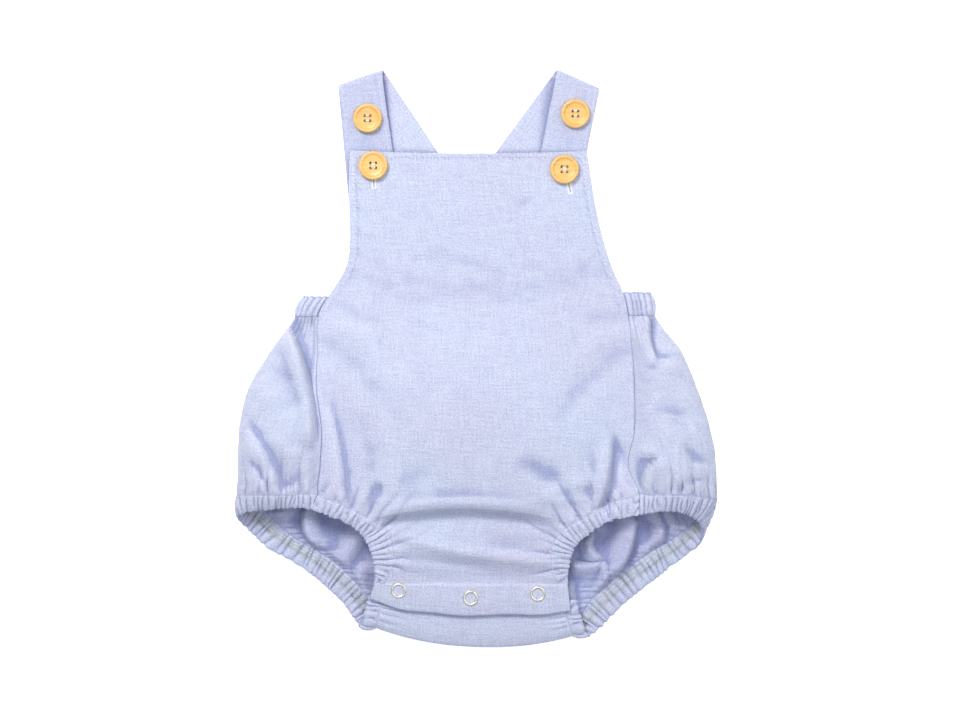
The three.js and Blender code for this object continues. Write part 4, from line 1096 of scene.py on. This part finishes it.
def stitches_group():
    """Threads laid along a line at an even pitch, each turned from the line and a little uneven."""
    names = ("Pitch", "Stitch length", "Thread thickness", "Turn", "Unevenness")
    group, given, result = new_group("stitches", "GeometryNodeTree", [
        ("Geometry", "INPUT", "Geometry"), *((name, "INPUT", "Float") for name in names),
        ("Seed", "INPUT", "Int"), ("Thread", "INPUT", "Material"), ("Geometry", "OUTPUT", "Geometry"),
    ])
    add = lambda kind, inputs=None, **settings: add_node(group, kind, inputs, **settings)
    line = add("GeometryNodeMeshToCurve", {0: given["Geometry"]}).outputs[0]
    even = add("GeometryNodeResampleCurve", mode="LENGTH")
    fill(group, even, {"Curve": line, "Length": given["Pitch"]})
    stitch = add("GeometryNodeMeshUVSphere", {"Segments": 6, "Rings": 5, "Radius": 0.5}).outputs[0]
    up = add("GeometryNodeInputNamedAttribute", {"Name": "up"}, data_type="FLOAT_VECTOR").outputs["Attribute"]
    upright = add("FunctionNodeAlignRotationToVector", {"Vector": up}, axis="Z").outputs[0]
    facing = {"Rotation": upright, "Vector": add("GeometryNodeInputTangent").outputs[0]}
    forward = add("FunctionNodeAlignRotationToVector", facing, axis="X", pivot_axis="Z").outputs[0]
    spread = add("FunctionNodeRandomValue", {"Seed": given["Seed"]}, data_type="FLOAT")
    least, most = [socket for socket in spread.inputs if socket.type == "VALUE"][:2]
    group.links.new(math_node(group, "MULTIPLY", given["Unevenness"], -1.0), least)
    group.links.new(given["Unevenness"], most)
    random = next(socket for socket in spread.outputs if socket.type == "VALUE")
    angle = math_node(group, "ADD", given["Turn"], random)
    twist = add("FunctionNodeAxisAngleToRotation", {"Axis": (0, 0, 1), "Angle": angle}).outputs[0]
    turned = add("FunctionNodeRotateRotation", {0: forward, 1: twist}, rotation_space="LOCAL").outputs[0]
    length = math_node(group, "MULTIPLY", given["Stitch length"], math_node(group, "ADD", 1.0, random))
    thickness = given["Thread thickness"]
    size = add("ShaderNodeCombineXYZ", {0: length, 1: thickness, 2: thickness}).outputs[0]
    laid = {"Points": even.outputs[0], "Instance": stitch, "Rotation": turned, "Scale": size}
    threads = add("GeometryNodeInstanceOnPoints", laid).outputs[0]
    real = add("GeometryNodeRealizeInstances", {0: threads}).outputs[0]
    rounded = add("GeometryNodeSetShadeSmooth", {0: real}).outputs[0]
    finish = add("GeometryNodeSetMaterial", {"Geometry": rounded, "Material": given["Thread"]})
    fill(group, result, {0: finish.outputs[0]})
    return group


def sew(name, lines, thread, pitch, length, thickness, turn=0.0, unevenness=0.08, seed=1):
    """One piece of stitches along several lines, each given as points and the way the cloth faces there."""
    points = np.concatenate([line for line, _ in lines])
    ups = np.concatenate([np.broadcast_to(up, line.shape) for line, up in lines])
    start, edges = 0, []
    for line, _ in lines:
        edges += [(start + i, start + i + 1) for i in range(len(line) - 1)]
        start += len(line)
    mesh = bpy.data.meshes.new(name + "_line")
    mesh.from_pydata((points * MM).tolist(), edges, [])
    facing = mesh.attributes.new("up", "FLOAT_VECTOR", "POINT")
    facing.data.foreach_set("vector", ups.astype(np.float32).ravel())
    guide = add_object(name + "_line", mesh)
    maker = guide.modifiers.new("stitches", "NODES")
    maker.node_group = STITCHES
    values = {"Pitch": pitch * MM, "Stitch length": length * MM, "Thread thickness": thickness * MM,
              "Turn": turn, "Unevenness": unevenness, "Seed": seed, "Thread": thread}
    for item in STITCHES.interface.items_tree:
        if item.in_out == "INPUT" and item.name in values:
            maker[item.identifier] = values[item.name]
    sewn = bpy.data.meshes.new_from_object(guide.evaluated_get(bpy.context.evaluated_depsgraph_get()))
    bpy.data.objects.remove(guide)
    piece = add_object(name, sewn)
    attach(piece, "root")


def front_line(rows, t):
    """Points on top of the front panel's cloth."""
    return front_surface(rows, t) + UP * (CLOTH / 2)


def later(line, offset):
    """The same line, begun a little further along."""
    reach = lengths_along(line)
    at = np.linspace(offset, reach[-1], len(line))
    return np.stack([np.interp(at, reach, line[:, k]) for k in range(3)], axis=1)


def hem_lines(offset=0.0):
    """Topstitching along the bib's top, both armholes and the placket."""
    down = np.linspace(0.1, 5.9, 120)
    values = along(FRONT_ROWS, down)
    inset = np.interp(down, [0, 3, 5.9], [3.4, 4.2, 4.6]) / (values[:, RX] - values[:, LX])
    on_placket = lambda column, share: placket_surface(column, share) + UP * PLACKET_HALF
    lines = [
        front_line(np.full(90, 0.22), np.linspace(0.02, 0.98, 90)),
        front_line(down, inset),
        front_line(down, 1 - inset),
        on_placket(np.linspace(0.12, 4.88, 120), 0.1),
        on_placket(4.74, np.linspace(0.14, 0.95, 30)),
    ]
    return [(later(line, offset), UP) for line in lines]


def strap_lines():
    """Topstitching along both edges of each strap, apart from its bend."""
    lines = []
    for side in SIDES:
        length, total = strap_axes(side)["length"], strap_axes(side)["total"]
        for inset in (-11.7, 11.7):
            for first, last in ((2, length - 6), (length + 8, total - 2)):
                line = strap_surface(side, np.linspace(first, last, 80), inset)
                lines.append((line + UP * (STRAP_CLOTH / 2 * 0.9), UP))
    return lines


# Buttons and snaps

def lathe(name, profile, segments, place=(0, 0, 0)):
    """A turned body round the Z axis. A point of the profile with no radius is a single point of the mesh."""
    turn = np.linspace(0, 2 * math.pi, segments, endpoint=False)
    points, rings = [], []
    for r, z in profile:
        angles = turn if r > 0 else turn[:1]
        rings.append([len(points) + k % len(angles) for k in range(segments + 1)])
        points += [(r * math.cos(a), r * math.sin(a), z) for a in angles]
    faces = []
    for low, high in zip(rings, rings[1:]):
        for k in range(segments):
            face = list(dict.fromkeys((low[k], low[k + 1], high[k + 1], high[k])))
            if len(face) > 2:
                faces.append(face)
    mesh = bpy.data.meshes.new(name)
    mesh.from_pydata(((np.array(points) + np.array(place)) * MM).tolist(), [], faces)
    shade_smooth(mesh)
    return add_object(name, mesh)


BUTTONS = {"button_bib_left": (-64, 119.4), "button_strap_left": (-67.6, 149),
           "button_bib_right": (54.6, 117), "button_strap_right": (61.4, 151.8)}
# A button's radius and height, the height of its underside on the bib and over a strap, and its holes.
BUTTON_R, BUTTON_H, BIB_BUTTON_Z, ON_STRAP = 9.0, 3.2, 7.9, 0.4
HOLE_R, HOLE_SPACING = 0.95, 3.1


def button_seat(name):
    """Where a button sits and how far it leans with the strap under it."""
    x, y = BUTTONS[name]
    if "bib" in name:
        return (x, y, BIB_BUTTON_Z), 0.0
    side = name.split("_")[-1]
    s = strap_axes(side)
    down = [(s["shoulder"] - (x, at)) @ s["beyond"] - BEND_RADIUS for at in (y + BUTTON_R, y - BUTTON_R)]
    top, bottom = (strap_front_height(side, at) + STRAP_CLOTH / 2 + ON_STRAP for at in down)
    return (x, y, (top + bottom) / 2), math.atan2(top - bottom, 2 * BUTTON_R)


def leaned(points, tilt):
    """Points turned about the X axis."""
    x, y, z = points.T
    cos, sin = math.cos(tilt), math.sin(tilt)
    return np.stack([x, y * cos - z * sin, y * sin + z * cos], axis=1)


# A button's outline from the middle of its underside to the middle of its dished face, as shares of its
# radius and height.
BUTTON_PROFILE = [
    (0, 0), (0.84, 0), (0.92, 0.08), (0.98, 0.25), (1, 0.45), (0.995, 0.7), (0.965, 0.9), (0.9, 1),
    (0.83, 0.98), (0.77, 0.86), (0.72, 0.74), (0.64, 0.68), (0.4, 0.62), (0, 0.6),
]


def build_button(name, material):
    place, tilt = button_seat(name)
    piece = lathe(name + "_disc", [(r * BUTTON_R, h * BUTTON_H) for r, h in BUTTON_PROFILE], 64)
    drills = []
    for sx, sy in ((1, 1), (-1, 1), (-1, -1), (1, -1)):
        hole = (sx * HOLE_SPACING / 2, sy * HOLE_SPACING / 2, 0)
        drill = lathe("drill", [(0, -3), (HOLE_R, -3), (HOLE_R, 9), (0, 9)], 16, hole)
        cut = piece.modifiers.new("hole", "BOOLEAN")
        cut.operation, cut.object, cut.solver = "DIFFERENCE", drill, "EXACT"
        drills.append(drill)
    drilled = bpy.data.meshes.new_from_object(piece.evaluated_get(bpy.context.evaluated_depsgraph_get()))
    piece.modifiers.clear()
    for drill in drills:
        bpy.data.objects.remove(drill)
    points = np.empty(len(drilled.vertices) * 3)
    drilled.vertices.foreach_get("co", points)
    points = leaned(points.reshape(-1, 3), tilt) + np.array(place) * MM
    drilled.vertices.foreach_set("co", points.ravel())
    shade_smooth(drilled, 50)
    piece.data = drilled
    drilled.materials.clear()
    drilled.materials.append(material)
    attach(piece, "root")
    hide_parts(name)


# A snap ring's section, as radius and height from the placket.
SNAP_PROFILE = [(3.3, 0.0), (3.25, 0.35), (3.45, 0.75), (3.85, 0.98), (4.3, 0.92), (4.65, 0.6), (4.8, 0.2),
                (4.8, 0.0), (3.3, 0.0)]


def build_snap(number, x, y, material):
    place = (x, y, PLACKET_Z + PLACKET_HALF + 0.05)
    ring = lathe("snap_ring_metal_" + str(number), SNAP_PROFILE, 56, place)
    ring.data.flip_normals()
    ring.data.materials.append(material)
    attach(ring, "root")
    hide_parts("snap_ring_" + str(number))


def cord_between(ends, radius, rise):
    """A short arched thread from one end to the other."""
    a, b = (np.array(end, float) for end in ends)
    t = np.linspace(0, 1, 9)[:, None]
    path = a + (b - a) * t + UP * rise * 4 * t * (1 - t)
    forward = (b - a) / np.linalg.norm(b - a)
    side = np.cross(UP, forward)
    turn = np.linspace(0, 2 * math.pi, 8, endpoint=False)
    ring = radius * (np.cos(turn)[:, None] * side + np.sin(turn)[:, None] * np.cross(forward, side))
    points = (path[:, None] + ring[None]).reshape(-1, 3)
    index = np.arange(len(points)).reshape(9, 8)
    index = np.concatenate([index, index[:, :1]], axis=1)
    return points, grid_faces(index)


def build_button_threads(thread):
    """White thread sewn through the holes: two bars on each strap button, a cross on each bib button."""
    half, radius, reach, level = HOLE_SPACING / 2, 0.17, 0.8, 0.56
    parts, faces, start = [], [], 0
    for name in BUTTONS:
        (x, y, z), tilt = button_seat(name)
        crossed = "bib" in name
        for sign in (1, -1):
            for shift in (-radius, radius):
                ends = []
                for end in (-1, 1):
                    local_y = sign * half * (-end if crossed else 1) + shift
                    ends.append((x + end * half * reach, y + local_y * math.cos(tilt),
                                 z + local_y * math.sin(tilt) + BUTTON_H * level))
                points, sides = cord_between(ends, radius, 0.5)
                parts.append(points)
                faces.append(sides + start)
                start += len(points)
    piece = make_mesh("button_threads", np.concatenate(parts), np.concatenate(faces))
    piece.data.materials.append(thread)
    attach(piece, "root")


# The lower end of each buttonhole shows below its button: its x, and where it ends, x and y.
BUTTONHOLES = [(-64.2, -63.6, 105.4), (55.0, 58.6, 102.4)]


def buttonhole_lines():
    """The two rows of each buttonhole's close zigzag and the slit between them."""
    rows, slits = [], []
    for x_top, x_end, y_end in BUTTONHOLES:
        top, end = np.array([x_top, 118.0]), np.array([x_end, y_end])
        run = end - top
        aside = np.array([-run[1], run[0]]) / np.linalg.norm(run)
        t = np.linspace(0, 1, 24)[:, None]
        for shift in (-0.95, 0.95):
            rows.append((bib_points(top + run * t + aside * shift), UP))
        rows.append((bib_points(end + aside * np.linspace(-1.3, 1.3, 8)[:, None]), UP))
        slits.append((bib_points(top + run * t * 0.93), UP))
    return rows, slits


def bib_points(xy):
    """Points on top of the bib at these x and y."""
    row = bib_rows(xy[:, 1])
    values = along(FRONT_ROWS, row)
    t = (xy[:, 0] - values[:, LX]) / (values[:, RX] - values[:, LX])
    return front_line(row, t)


# The scene

add_camera()
add_studio()
LIGHT_THREAD, DARK_THREAD = (0.665, 0.70, 0.83), (0.452, 0.482, 0.65)
cloth = cloth_material("lilac slub cloth", LIGHT_THREAD, DARK_THREAD)
STITCHES = stitches_group()
build_front_panel(cloth)
build_back_panel(cloth)
for side in SIDES:
    for kind in SEAMS:
        build_leg_casing(kind, side, cloth)
    build_strap(side, cloth)
build_waist_casing(cloth)
build_placket(cloth)
lacquer, brass = button_material(), snap_material()
for name in BUTTONS:
    build_button(name, lacquer)
for number, (x, y) in enumerate(SNAPS, 1):
    build_snap(number, x, y, brass)
    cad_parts["snap_stud_" + str(number)].material_slots[0].material = brass

cotton = thread_material("pale lilac sewing thread", (0.80, 0.82, 0.93))
white = thread_material("white cotton thread", (0.93, 0.93, 0.91))
grey = thread_material("grey green overlock thread", (0.46, 0.50, 0.44), scale=260, darkest=0.36)
# Painted shade: dark dots between the hem stitches stand for the shade in the needle holes, and a dark thread
# for the shade in each buttonhole's slit.
hole_shaded = thread_material("pricked cloth", (0.30, 0.32, 0.46), 0.9)
shadow = thread_material("shadowed hole", (0.10, 0.10, 0.14), 0.9)
holes, slits = buttonhole_lines()
# Each row of stitches: its pitch, and each stitch's length and thickness, in millimetres.
sew("hem_stitches", hem_lines(), cotton, 2.2, 1.6, 0.42)
sew("needle_holes", hem_lines(1.1), hole_shaded, 2.2, 0.55, 0.42, seed=7)
sew("strap_stitches", strap_lines(), cotton, 2.2, 1.6, 0.36, seed=2)
sew("casing_stitches", CASING_LINES, cotton, 2.2, 1.8, 0.36, seed=3)
sew("overlock_threads", OVERLOCK_LINES, grey, 0.85, 2.5, 0.36, turn=1.15, unevenness=0.5, seed=4)
sew("buttonhole_threads", holes, white, 0.5, 1.5, 0.6, turn=1.45, unevenness=0.12, seed=5)
sew("buttonhole_slits", slits, shadow, 0.8, 1.1, 0.35, seed=6)
build_button_threads(white)
